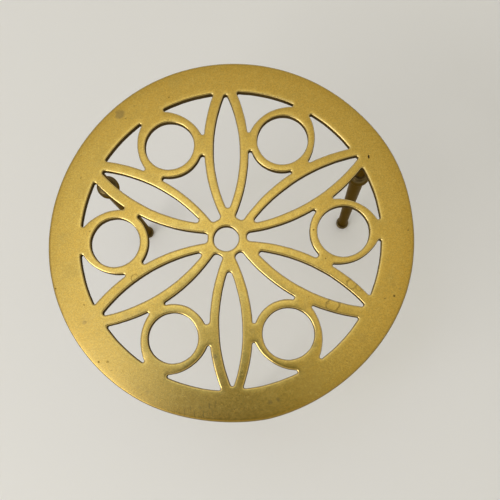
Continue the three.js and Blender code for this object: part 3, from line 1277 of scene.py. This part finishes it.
    def petal_side(
        self,
        petal: Petal,
        side: int,
        web: float,
        lean: float = 0.0,
        corner: np.ndarray | None = None,
    ) -> Side:
        """The outer edge of a petal's bar beside one opening.

        Args:
            petal: The petal.
            side: The side of the ring beside the opening on which the petal lies.
            web: How much thicker the bar is there, in millimetres.
            lean: How far the edge turns into the opening about the corner, in degrees.
            corner: The opening's corner between ring and petal.

        Returns:
            The edge as a side of the opening.
        """
        half = petal.half_opening + petal.bar
        edge = self.lens(petal.direction, self.petal_outline, half, 1)[1 if side > 0 else 0]
        centre = edge.centre
        if corner is not None:
            arm = centre - corner
            bearing = math.degrees(math.atan2(arm[1], arm[0])) - side * lean
            centre = polar(corner, float(np.linalg.norm(arm)), bearing)
        return Side(centre, edge.radius + web, edge.solid)

    def petal_opening(self, petal: Petal) -> Outline:
        """The opening inside a petal.

        Args:
            petal: The petal.

        Returns:
            Its outline.
        """
        ends = (petal.root, petal.tip)
        off = polar(np.zeros(2), petal.aside, petal.direction + 90)
        edges = self.lens(petal.direction, ends, petal.half_opening, -1)
        tips = [self.at(end, petal.direction) + off for end in ends]
        return rounded_opening(
            [Side(edge.centre + off, edge.radius, edge.solid) for edge in edges],
            list(zip(self.petal_roundings, tips)),
            self.spacing,
        )

    def gap_opening(self, ring: Ring, right: Petal, left: Petal) -> Outline:
        """The opening between the hub, two petals and a ring.

        Args:
            ring: The ring.
            right: The petal on its right.
            left: The petal on its left.

        Returns:
            The opening's outline.
        """
        reach = ring.distance - ring.bore
        hub_end = polar(self.hub_middle, self.share(self.hub), ring.direction)
        hub_corner = (self.hub_corner_rounding, hub_end)
        crooks = [
            (rounding, self.at(reach, ring.direction + turn))
            for rounding, turn in zip(ring.crooks, (-self.gap_corner_turn, self.gap_corner_turn))
        ]
        return rounded_opening(
            [
                self.petal_side(right, -1, ring.gap_webs[0]),
                Side(self.at(ring.distance, ring.direction), self.share(self.ring_hub_side), 1),
                self.petal_side(left, 1, ring.gap_webs[1]),
                Side(self.hub_middle, self.share(self.hub) + ring.rise, 1),
            ],
            [hub_corner, *crooks, hub_corner],
            self.spacing,
        )

    def ring_shoulder_side(self, ring: Ring, side: int) -> Side:
        """A ring's shoulder on one side, which ends in its neck at the rim.

        Args:
            ring: The ring.
            side: 1 for its left and -1 for its right.

        Returns:
            The shoulder as a side of the opening at the rim.
        """
        level = ring.distance - self.ring_shoulder_inward
        shoulder = self.ring_shoulder + of_side(ring.swells, side) / self.rim_inner
        rise, spread = 1 - level, shoulder - of_side(ring.necks, side)
        radius = (rise**2 + spread**2) / (2 * spread)
        across = side * self.share(shoulder - radius)
        middle = polar(self.at(level, ring.direction), across, ring.direction + 90)
        return Side(middle, self.share(radius), 1)

    def rim_opening(self, ring: Ring, petal: Petal, side: int) -> Outline:
        """The opening between a ring, the petal on one side of it and the rim.

        Args:
            ring: The ring.
            petal: The petal.
            side: 1 where that is on the left, else -1.

        Returns:
            The opening's outline.
        """
        centre, sharp = np.zeros(2), self.sharp_corner_rounding
        reach = self.rim_inner - of_side(ring.shorts, side)
        web, lean = of_side(ring.webs, side), of_side(ring.leans, side)
        crook = self.at(ring.distance, ring.direction + side * self.crook_corner_turn)
        turn = side * self.rim_corner_turn
        return rounded_opening(
            [
                self.ring_shoulder_side(ring, side),
                self.petal_side(petal, side, web, lean, crook),
                Side(centre, reach, -1),
            ],
            [
                (sharp, polar(centre, reach, ring.direction + turn)),
                (sharp, crook),
                (sharp, polar(centre, reach, petal.direction - turn)),
            ],
            self.spacing,
        )

    def rim_outline(self) -> Outline:
        """The rim's outer edge, drawn in or let out where it is out of round.

        Returns:
            The edge's outline.
        """
        outline = circle(np.zeros(2), self.radius, 1, self.spacing)
        bearing = np.degrees(np.arctan2(outline.places[:, 1], outline.places[:, 0]))
        drawn = np.zeros(len(bearing))
        for direction, depth, spread in self.rim_flats:
            off = (bearing - direction + 180.0) % 360.0 - 180.0
            lobe = depth * (0.5 + 0.5 * np.cos(np.pi * np.clip(off / spread, -1.0, 1.0)))
            drawn = np.where(np.abs(lobe) > np.abs(drawn), lobe, drawn)
        return Outline(outline.moved_back(drawn[:, None]), outline.into)

    def openings(self) -> list[Outline]:
        """Every opening of the plate, anticlockwise.

        Returns:
            Their outlines.
        """
        hole_middle = self.hub_middle + np.array(self.hub_hole_shift)
        made = [circle(hole_middle, self.share(self.hub_bore), -1, self.spacing)]
        made += [self.petal_opening(petal) for petal in self.petals]
        for i, ring in enumerate(self.rings):
            left, right = self.petals[i], self.petals[i - 1]
            centre = self.at(ring.distance, ring.direction)
            made.append(circle(centre, self.share(ring.bore), -1, self.spacing))
            made.append(self.gap_opening(ring, right, left))
            made.append(self.rim_opening(ring, left, 1))
            made.append(self.rim_opening(ring, right, -1))
        return [outline.anticlockwise() for outline in made]

    def section(self, cut: EdgeCut) -> list[Row]:
        """A wall's section: lower edge, wall and upper edge.

        Args:
            cut: How the wall's edges are worked.

        Returns:
            Its rows from the underside up.
        """
        bottom = self.height - self.thickness
        steps = self.lower_edge_steps
        rows = []
        for i in range(steps, -1, -1):
            angle = math.pi / 2 * i / steps
            back, rise = cut.under * (1 - math.cos(angle)), cut.under * (1 - math.sin(angle))
            under = self.lower_edge_under * i / steps
            wall = cut.sides * (1.0 - under)
            rows.append(Row(back, bottom + rise, wall=wall, under=under, hold=cut.follow))
        rises = [width * math.tan(math.radians(slope)) for width, slope in cut.facets]
        foot, level = bottom + cut.under, self.height - sum(rises)
        for share in self.wall_levels:
            height = foot + (level - foot) * share
            rows.append(Row(0.0, height, wall=cut.sides, hold=cut.follow))
        gentle, steep = cut.darkened_slopes
        least, full = self.worn_and_glint_slopes
        back = 0.0
        for (width, slope), rise in zip(cut.facets, rises):
            back, level = back + width, level + rise
            # Steep facets darken as painted shade together with patina; gentler ones take the pale
            # worn colour with a painted highlight.
            wall = cut.sides * clamped((slope - gentle) / (steep - gentle))
            bevel = cut.shine * clamped((slope - least) / (full - least)) * (1.0 - wall)
            hold = cut.follow * clamped(self.held_width - back)
            edge = max(0.0, back - self.edge_start)
            rows.append(Row(back, level, edge, wall, 0.0, bevel, hold))
        return rows

    def build(self) -> bpy.types.Object:
        """Makes the plate's mesh object.

        Returns:
            The plate, before it is worn and dressed.
        """
        draft = MeshDraft()
        walls = [(self.rim_outline(), self.section(self.rim_edge), True)]
        filed = self.section(self.filed_edge)
        walls += [(opening, filed, False) for opening in self.openings()]
        lowest, highest = [], []
        for outline, section, outward in walls:
            rows = [
                draft.add_row(
                    outline.moved_back(row.back),
                    row.height,
                    outline.into * row.hold,
                    **{name: getattr(row, name) for name in POINT_VALUES},
                )
                for row in section
            ]
            for low, high in zip(rows, rows[1:]):
                draft.bridge(low, high, outward)
            lowest.append(rows[0])
            highest.append(rows[-1])
        top_rows = np.concatenate([outline.places for outline, _, _ in walls])
        grid = np.arange(-self.radius, self.radius, self.grid_step)
        spots = np.stack(np.meshgrid(grid, grid), -1).reshape(-1, 2)
        spots = spots[np.hypot(*spots.T) < self.radius - self.grid_inset]
        for outline, _, _ in walls[1:]:
            spots = spots[~inside(spots, outline.places)]
        reach = distance_to(spots, top_rows)
        filed_width = sum(width for width, _ in self.filed_edge.facets)
        roomy = reach > filed_width + self.grid_clearance
        loose = draft.add_row(spots[roomy], self.height, edge=reach[roomy] - self.edge_start)
        draft.fill(highest[0], highest[1:], loose, True)
        sockets = [self.socket(draft, direction) for direction in self.leg_directions]
        draft.fill(lowest[0], [*lowest[1:], *sockets], np.zeros(0, int), False)
        log.info("plate: %d openings, %d faces", len(walls) - 1, len(draft.faces))
        return draft.to_object("plate_form")

    def socket(self, draft: MeshDraft, direction: float) -> np.ndarray:
        """Adds the blind socket of one leg.

        Args:
            draft: The mesh to add to.
            direction: The leg's direction, in degrees.

        Returns:
            The numbers of the row where the socket meets the underside.
        """
        bottom = self.height - self.thickness
        centre = polar(np.zeros(2), self.radius - self.leg_inset, direction)
        bore = circle(centre, self.socket_radius, -1, self.spacing)
        mouth, end = (
            draft.add_row(bore.places, bottom + depth, wall=1.0, under=1.0)
            for depth in (0.0, self.socket_depth)
        )
        draft.bridge(mouth, end, False)
        middle = draft.add_row(centre[None], bottom + self.socket_depth, wall=1.0, under=1.0)
        draft.faces += [
            (int(after), int(here), int(middle[0])) for here, after in zip(end, np.roll(end, -1))
        ]
        return mouth

    def wear_tool(self) -> Tool:
        """A tree that leaves the plate a little uneven, as sawing, filing and use do.

        Returns:
            The tree, with the depths of dips, wobble and saw marks as inputs.
        """
        tool = Tool(
            "hand_wear",
            Face_Depth="Float",
            Edge_Wobble="Float",
            Saw_Marks="Float",
            Seed="Float",
            Material="Material",
        )
        graph = tool.graph
        place = graph.stretched(graph.add("GeometryNodeInputPosition"), 1 / MM)
        plan = graph.scaled(place, (1.0, 1.0, 0.0))

        def uneven(where: Wire, scale: float, shift: float) -> Wire:
            """Noise of about 0 to 1 that the seed moves."""
            inputs = {"Vector": where, "Scale": scale, "W": tool.given("Seed") + shift}
            return graph.add("ShaderNodeTexNoise", {"noise_dimensions": "4D"}, inputs)

        def named(attribute: str, kind: str = "FLOAT") -> Wire:
            """One of the mesh's point values."""
            settings = {"data_type": kind}
            return graph.add("GeometryNodeInputNamedAttribute", settings, {"Name": attribute})

        wall, under = named("wall"), named("under")
        dip = uneven(place, 0.035, 0.0) * tool.given("Face Depth") * (1.0 - wall) * (1.0 - under)
        push = (
            uneven(plan, 0.11, 5.0) * tool.given("Edge Wobble")
            + uneven(plan, 0.9, 8.0) * tool.given("Saw Marks") * wall
        )
        aside = graph.stretched(named("into", "FLOAT_VECTOR"), push)
        down = graph.add("ShaderNodeCombineXYZ", inputs={"Z": -dip})
        moved = graph.add(
            "GeometryNodeSetPosition",
            inputs={"Geometry": tool.given("Geometry"), "Offset": graph.vector("ADD", aside, down)},
        )
        tool.close(moved)
        return tool

    def make(self) -> bpy.types.Object:
        """Builds, wears and dresses the plate, and puts it in the CAD node's place.

        Returns:
            The finished piece.
        """
        piece = self.wear_tool().run(
            self.build(),
            "pierced_plate",
            Face_Depth=0.06 * MM,
            Edge_Wobble=0.4 * MM,
            Saw_Marks=0.16 * MM,
            Seed=4.0,
            Material=self.finish.build(),
        )
        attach(piece, BODY)
        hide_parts(self.node)
        log_piece(piece, self.node)
        return piece


# The legs

# Waves per metre of the marks that the tool leaves, and how far apart two legs' marks are
CHATTER_RATE, SEED_STRIDE = 420.0, 17.0
# How near points along a leg's seam count as one, in metres
SEAM = 1e-6
# The most of a straight run that the rounding of a corner takes up, and its steps
CORNER_SHARE, CORNER_STEPS = 0.4, (0.0, 0.35, 0.65, 1.0)


class Profile:
    """A turned piece's half section: radius and height, from the foot up."""

    def __init__(self, radius: float, height: float, steps: int = 8) -> None:
        """Starts at a point; steps is how finely curves are cut."""
        self.points: list[Pair] = [(radius, height)]
        self.steps = steps

    def line(self, radius: float, height: float) -> "Profile":
        """A straight run."""
        self.points.append((radius, height))
        return self

    def curve(self, *controls: Pair) -> "Profile":
        """A Bezier curve from the last point.

        Args:
            *controls: The control points, the last of which is its end.

        Returns:
            This profile.
        """
        chain = np.array([self.points[-1], *controls])
        for i in range(1, self.steps + 1):
            level = chain
            while len(level) > 1:
                level = level[:-1] + (level[1:] - level[:-1]) * (i / self.steps)
            self.points.append(tuple(level[0]))
        return self

    def softened(self, radius: float, sharpness: float = 25.0) -> list[Pair]:
        """The points, with a small rounding where the section turns sharply.

        Args:
            radius: How far from a corner the rounding starts.
            sharpness: The least turn that is rounded, in degrees.

        Returns:
            The section's points.
        """
        chain = np.array(self.points)
        made = [tuple(chain[0])]
        for before, here, after in zip(chain, chain[1:], chain[2:]):
            a, b = here - before, after - here
            near, far = np.linalg.norm(a), np.linalg.norm(b)
            turn = math.degrees(math.acos(np.clip(a @ b / (near * far), -1, 1)))
            if turn < sharpness:
                made.append(tuple(here))
                continue
            start = here - a / near * min(radius, CORNER_SHARE * near)
            end = here + b / far * min(radius, CORNER_SHARE * far)
            for t in CORNER_STEPS:
                made.append(tuple((1 - t) ** 2 * start + 2 * t * (1 - t) * here + t * t * end))
        made.append(tuple(chain[-1]))
        return made


@dataclass
class TurnedLeg:
    """One leg, turned from a bar: foot, ankle, shaft, knop, neck, shoulder and spigot.

    The lengths are in millimetres, and levels are above the floor.

    Attributes:
        node: The CAD node that the piece stands for.
        direction: Where it stands, in degrees from the plate's right.
        seed: Chooses its tool marks.
        finish: Its material.
        circle_radius: How far its axis is from the plate's.
        corner_rounding: How far from the section's corners their rounding starts.
        sides: How many facets it has around.
    """

    node: str
    direction: float
    seed: float
    finish: bpy.types.Material
    circle_radius: float = 90.4
    foot_radius: float = 4.8
    foot_height: float = 3.2
    foot_rounding: float = 1.0
    ankle_radius: float = 3.6
    ankle_height: float = 9.0
    shaft_radius: float = 4.5
    knop_radius: float = 6.8
    knop_half_height: float = 5.2
    knop_level: float = 140.0
    fillet_radius: float = 5.2
    fillet_height: float = 1.8
    neck_radius: float = 3.9
    shoulder_radius: float = 6.6
    shoulder_thickness: float = 2.0
    shoulder_cove: float = 5.0
    shoulder_level: float = 187.2
    spigot_radius: float = 3.4
    spigot_length: float = 3.0
    spigot_chamfer: float = 0.5
    corner_rounding: float = 0.18
    sides: int = 72

    def profile(self) -> list[Pair]:
        """The leg's half section.

        Returns:
            Its points, from the middle of the foot's underside to the spigot's end.
        """
        foot, ease = self.foot_radius, self.foot_rounding
        low = self.knop_level - self.knop_half_height
        high = self.knop_level + self.knop_half_height
        under, over = low - self.fillet_height, high + self.fillet_height
        half_fillet, half_knop = self.fillet_height / 2, self.knop_half_height / 2
        seat = self.shoulder_level - self.shoulder_thickness
        top = self.shoulder_level + self.spigot_length
        p = Profile(0.0, 0.0)
        p.line(foot - ease, 0.0).curve((foot, 0.0), (foot, ease))
        p.line(foot, self.foot_height - ease)
        p.curve((foot, self.foot_height), (foot - ease, self.foot_height))
        p.curve((self.ankle_radius, self.foot_height), (self.ankle_radius, self.ankle_height))
        p.line(self.shaft_radius, under)
        p.curve((self.fillet_radius, under), (self.fillet_radius, under + half_fillet))
        p.curve((self.fillet_radius, low), (self.shaft_radius, low))
        knop, neck = self.knop_radius, self.neck_radius
        p.curve((knop, low), (knop, low + half_knop), (knop, self.knop_level))
        p.curve((knop, high - half_knop), (knop, high), (neck, high))
        p.curve((self.fillet_radius, high), (self.fillet_radius, over - half_fillet))
        p.curve((self.fillet_radius, over), (neck, over))
        p.line(neck, seat - self.shoulder_cove)
        p.curve((neck, seat), (self.shoulder_radius, seat))
        p.line(self.shoulder_radius, self.shoulder_level)
        p.line(self.spigot_radius, self.shoulder_level)
        p.line(self.spigot_radius, top - self.spigot_chamfer)
        p.line(self.spigot_radius - self.spigot_chamfer, top).line(0.0, top)
        return p.softened(self.corner_rounding)

    @staticmethod
    def lathe_tool() -> Tool:
        """A tree that spins a profile round an upright axis and leaves faint tool marks.

        Returns:
            The tree, with the axis's place, the sides and the marks' depth as inputs.
        """
        tool = Tool(
            "lathe",
            Stand_At="Vector",
            Sides="Int",
            Tool_Marks="Float",
            Seed="Float",
            Material="Material",
        )
        graph = tool.graph
        form, sides = tool.given("Geometry"), tool.given("Sides")
        count = graph.add(
            "GeometryNodeAttributeDomainSize", {"component": "MESH"}, {"Geometry": form}
        )
        length = count - 1.0
        sizes = {"Size X": length, "Size Y": sides * 1.0}
        numbers = {"Vertices X": count, "Vertices Y": sides + 1.0}
        grid = graph.add("GeometryNodeMeshGrid", inputs={**sizes, **numbers})
        position = graph.add("GeometryNodeInputPosition")
        across, around, _ = graph.parts(position)
        turn = around * (2 * math.pi) / sides
        index = graph.math("ROUND", across + length * 0.5)
        sampled = graph.add(
            "GeometryNodeSampleIndex",
            {"data_type": "FLOAT_VECTOR", "domain": "POINT"},
            {"Geometry": form, "Value": position, "Index": index},
        )
        radius, _, height = graph.parts(sampled)
        waves = height * CHATTER_RATE + tool.given("Seed") * SEED_STRIDE
        chatter = graph.add(
            "ShaderNodeTexNoise",
            {"noise_dimensions": "1D"},
            {"W": waves, "Scale": 1.0, "Detail": 2.0},
        )
        off_axis = graph.math("GREATER_THAN", radius, MM)
        reach = radius - chatter * tool.given("Tool Marks") * off_axis
        cosine, sine = graph.math("COSINE", turn), graph.math("SINE", turn)
        spun = graph.add(
            "ShaderNodeCombineXYZ", inputs={"X": reach * cosine, "Y": reach * sine, "Z": height}
        )
        place = graph.vector("ADD", spun, tool.given("Stand At"))
        placed = graph.add("GeometryNodeSetPosition", inputs={"Geometry": grid, "Position": place})
        marked = graph.add(
            "GeometryNodeStoreNamedAttribute",
            {"data_type": "FLOAT", "domain": "POINT"},
            {"Geometry": placed, "Name": "girth", "Value": radius * (1 / MM)},
        )
        welded = graph.add(
            "GeometryNodeMergeByDistance", inputs={"Geometry": marked, "Distance": SEAM}
        )
        tool.close(graph.add("GeometryNodeSetShadeSmooth", inputs={"Geometry": welded}))
        return tool

    def make(self, lathe: Tool) -> bpy.types.Object:
        """Turns the leg and puts it in the CAD node's place.

        Args:
            lathe: The tree that spins its profile.

        Returns:
            The finished piece.
        """
        name = self.node.replace("leg", "turned_leg")
        points = [(radius * MM, 0.0, height * MM) for radius, height in self.profile()]
        mesh = bpy.data.meshes.new(name + "_profile")
        mesh.from_pydata(points, [(i, i + 1) for i in range(len(points) - 1)], [])
        form = in_scene(name + "_profile", mesh)
        stand = polar(np.zeros(2), self.circle_radius, self.direction) * MM
        piece = lathe.run(
            form,
            name,
            Stand_At=(float(stand[0]), float(stand[1]), 0.0),
            Sides=self.sides,
            Tool_Marks=0.04 * MM,
            Seed=self.seed,
            Material=self.finish,
        )
        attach(piece, BODY)
        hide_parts(self.node)
        log_piece(piece, self.node)
        return piece


# The studio

@dataclass(frozen=True)
class Glow:
    """A soft light or dark place in the sky over the trivet.

    Attributes:
        across: Its tilt from straight up towards the plate's right, in degrees.
        rearward: Its tilt towards the rear.
        width: Its spread, in degrees.
        colour: How much it adds to the sky's brightness, or takes away where negative.
    """

    across: float
    rearward: float
    width: float
    colour: Triple


@dataclass(frozen=True)
class Lamp:
    """A softbox aimed at a point.

    Attributes:
        name: Its name.
        place: Where it hangs, in metres.
        target: The point that it is aimed at.
        size: Its side.
        power: Its power, in watts.
        colour: Its colour.
    """

    name: str
    place: Triple
    target: Triple
    size: float
    power: float
    colour: Triple

    def hang(self) -> None:
        """Adds the lamp to the scene."""
        light = bpy.data.lights.new(self.name, "AREA")
        light.shape = "SQUARE"
        light.size = self.size
        light.energy = self.power
        light.color = self.colour
        lamp = in_scene(self.name, light)
        lamp.location = self.place
        aim = Vector(self.target) - Vector(self.place)
        lamp.rotation_euler = aim.to_track_quat("-Z", "Y").to_euler()
        log.info("lamp %s", self.name)


@dataclass
class Studio:
    """Floor, sky, lamps and camera. Lengths are in metres.

    Attributes:
        floor_size: The floor's side.
        floor_level: Its level.
        foot_gap: Rays shorter than this pass the floor, so that the feet's undersides show.
        floor_colour: Its colour.
        zenith: The sky's colour overhead.
        horizon: Its colour at the sides.
        sky_levels: The rays' upward parts between which one turns into the other.
        glows: The soft lights and darks overhead.
        lamps: The lamps.
        lens: The camera's focal length, in millimetres.
        sensor_width: Its sensor's width, in millimetres.
        clip: The nearest and farthest that it sees.
        camera_turn: The turn from the plate's axes to the camera's, as a vector along its
            axis whose length is its angle.
        camera_shift: The plate's centre in the camera's axes, in units.
        unit: The length of one of those units.
        plate_top: The level of the plate's top.
    """

    floor_size: float = 8.0
    floor_level: float = -0.0002
    foot_gap: float = 0.001
    floor_colour: Triple = (0.79, 0.78, 0.76)
    zenith: Triple = (0.565, 0.516, 0.32)
    horizon: Triple = (0.72, 0.71, 0.69)
    sky_levels: Pair = (0.92, 0.6)
    glows: tuple[Glow, ...] = (
        Glow(-6.5, 6.9, 8.3, (1.78, 2.06, 2.95)),
        Glow(3.4, 7.6, 4.0, (0.115, 0.065, -0.1)),
        Glow(-11.0, 8.6, 3.2, (0.16, 0.17, 0.17)),
        Glow(-14.9, -0.3, 3.0, (2.15, 2.35, 4.4)),
        Glow(7.0, 3.0, 5.0, (0.07, 0.055, 0.01)),
        Glow(-25.0, -7.0, 5.5, (1.3, 1.35, 1.6)),
        Glow(2.0, -28.0, 9.0, (-0.3, -0.28, -0.2)),
        Glow(-5.8, 0.5, 6.0, (-2.11, -2.2, -2.71)),
    )
    lamps: tuple[Lamp, ...] = (
        Lamp("key", (-0.83, -0.56, 1.03), (0.0, 0.0, 0.17), 0.7, 5.5, (1.0, 0.99, 0.97)),
    )
    lens: float = 54.317
    sensor_width: float = 36.0
    clip: Pair = (0.01, 20.0)
    camera_turn: Triple = (-0.1815, -0.0418, 0.0434)
    camera_shift: Triple = (-0.1130, 0.0779, -4.1078)
    unit: float = 0.1
    plate_top: float = 0.192

    def lay_floor(self) -> None:
        """A plain pale floor under the feet, which lets a look from below through."""
        half, level = self.floor_size / 2, self.floor_level
        mesh = bpy.data.meshes.new("floor")
        corners = [(x * half, y * half, level) for x, y in ((-1, -1), (1, -1), (1, 1), (-1, 1))]
        mesh.from_pydata(corners, [], [(0, 1, 2, 3)])
        floor = in_scene("floor", mesh)
        material = bpy.data.materials.new("pale_floor")
        material.use_nodes = True
        graph = Graph(material.node_tree)
        shader = graph.add(
            "ShaderNodeBsdfPrincipled",
            inputs={"Base Color": (*self.floor_colour, 1.0), "Roughness": 0.85},
        )
        below = graph.add("ShaderNodeNewGeometry", output="Backfacing")
        length = graph.add("ShaderNodeLightPath", output="Ray Length")
        under_foot = graph.math("LESS_THAN", length, self.foot_gap)
        see_through = graph.math("MAXIMUM", below, under_foot)
        clear = graph.add("ShaderNodeBsdfTransparent")
        both = graph.add("ShaderNodeMixShader", inputs={0: see_through, 1: shader, 2: clear})
        graph.add("ShaderNodeOutputMaterial", inputs={"Surface": both})
        mesh.materials.append(material)
        log.info("floor")

    def light_sky(self) -> None:
        """An even sky with a few soft glows overhead, which the plate's top mirrors."""
        world = bpy.data.worlds.new("studio")
        bpy.context.scene.world = world
        world.use_nodes = True
        graph = Graph(world.node_tree)
        direction = graph.add("ShaderNodeTexCoord", output="Generated")
        up = graph.vector("DOT_PRODUCT", direction, (0.0, 0.0, 1.0), output="Value")
        brighter = tuple(low - high for low, high in zip(self.horizon, self.zenith))
        low = up.fade(*self.sky_levels)
        total = graph.vector("ADD", self.zenith, graph.stretched(brighter, low))
        for glow in self.glows:
            tilt = math.radians(math.hypot(glow.across, glow.rearward))
            azimuth = math.atan2(glow.rearward, glow.across)
            axis = (
                math.sin(tilt) * math.cos(azimuth),
                math.sin(tilt) * math.sin(azimuth),
                math.cos(tilt),
            )
            along = graph.vector("DOT_PRODUCT", direction, axis, output="Value")
            lobe = graph.math("EXPONENT", (along - 1.0) * (1 / math.radians(glow.width) ** 2))
            total = graph.vector("ADD", total, graph.stretched(glow.colour, lobe))
        total = graph.vector("MAXIMUM", total, (0.0, 0.0, 0.0))
        background = graph.add("ShaderNodeBackground", inputs={"Color": total, "Strength": 1.0})
        graph.add("ShaderNodeOutputWorld", inputs={"Surface": background})
        log.info("sky with %d glows", len(self.glows))

    def set_camera(self) -> None:
        """Puts the camera over the plate, a little to the front, and looks down."""
        turn = Vector(self.camera_turn)
        seen_from_world = Matrix.Rotation(turn.length, 3, turn.normalized())
        place = -(seen_from_world.transposed() @ Vector(self.camera_shift)) * self.unit
        data = bpy.data.cameras.new("camera")
        data.lens = self.lens
        data.sensor_width = self.sensor_width
        data.clip_start, data.clip_end = self.clip
        camera = in_scene("camera", data)
        camera.matrix_world = Matrix.Translation(
            place + Vector((0.0, 0.0, self.plate_top))
        ) @ seen_from_world.transposed().to_4x4()
        bpy.context.scene.camera = camera
        log.info("camera at %s", [round(v, 3) for v in camera.matrix_world.translation])

    def set_up(self) -> None:
        """Makes everything around the trivet."""
        self.set_camera()
        self.lay_floor()
        self.light_sky()
        for lamp in self.lamps:
            lamp.hang()
        bpy.context.scene.view_settings.view_transform = "Standard"


def main() -> None:
    """Builds the studio, the plate and the legs."""
    logging.basicConfig(level=logging.INFO, format="%(name)s: %(message)s")
    Studio().set_up()
    RosettePlate().make()
    shaded_leg_brass = SHADED_LEG_BRASS.build()
    lathe = TurnedLeg.lathe_tool()
    for node, direction, seed in (
        ("leg_rear_right", 30.0, 1.0),
        ("leg_rear_left", 150.0, 2.0),
        ("leg_front", 270.0, 3.0),
    ):
        TurnedLeg(node, direction, seed, shaded_leg_brass).make(lathe)


if __name__ == "__main__":
    main()
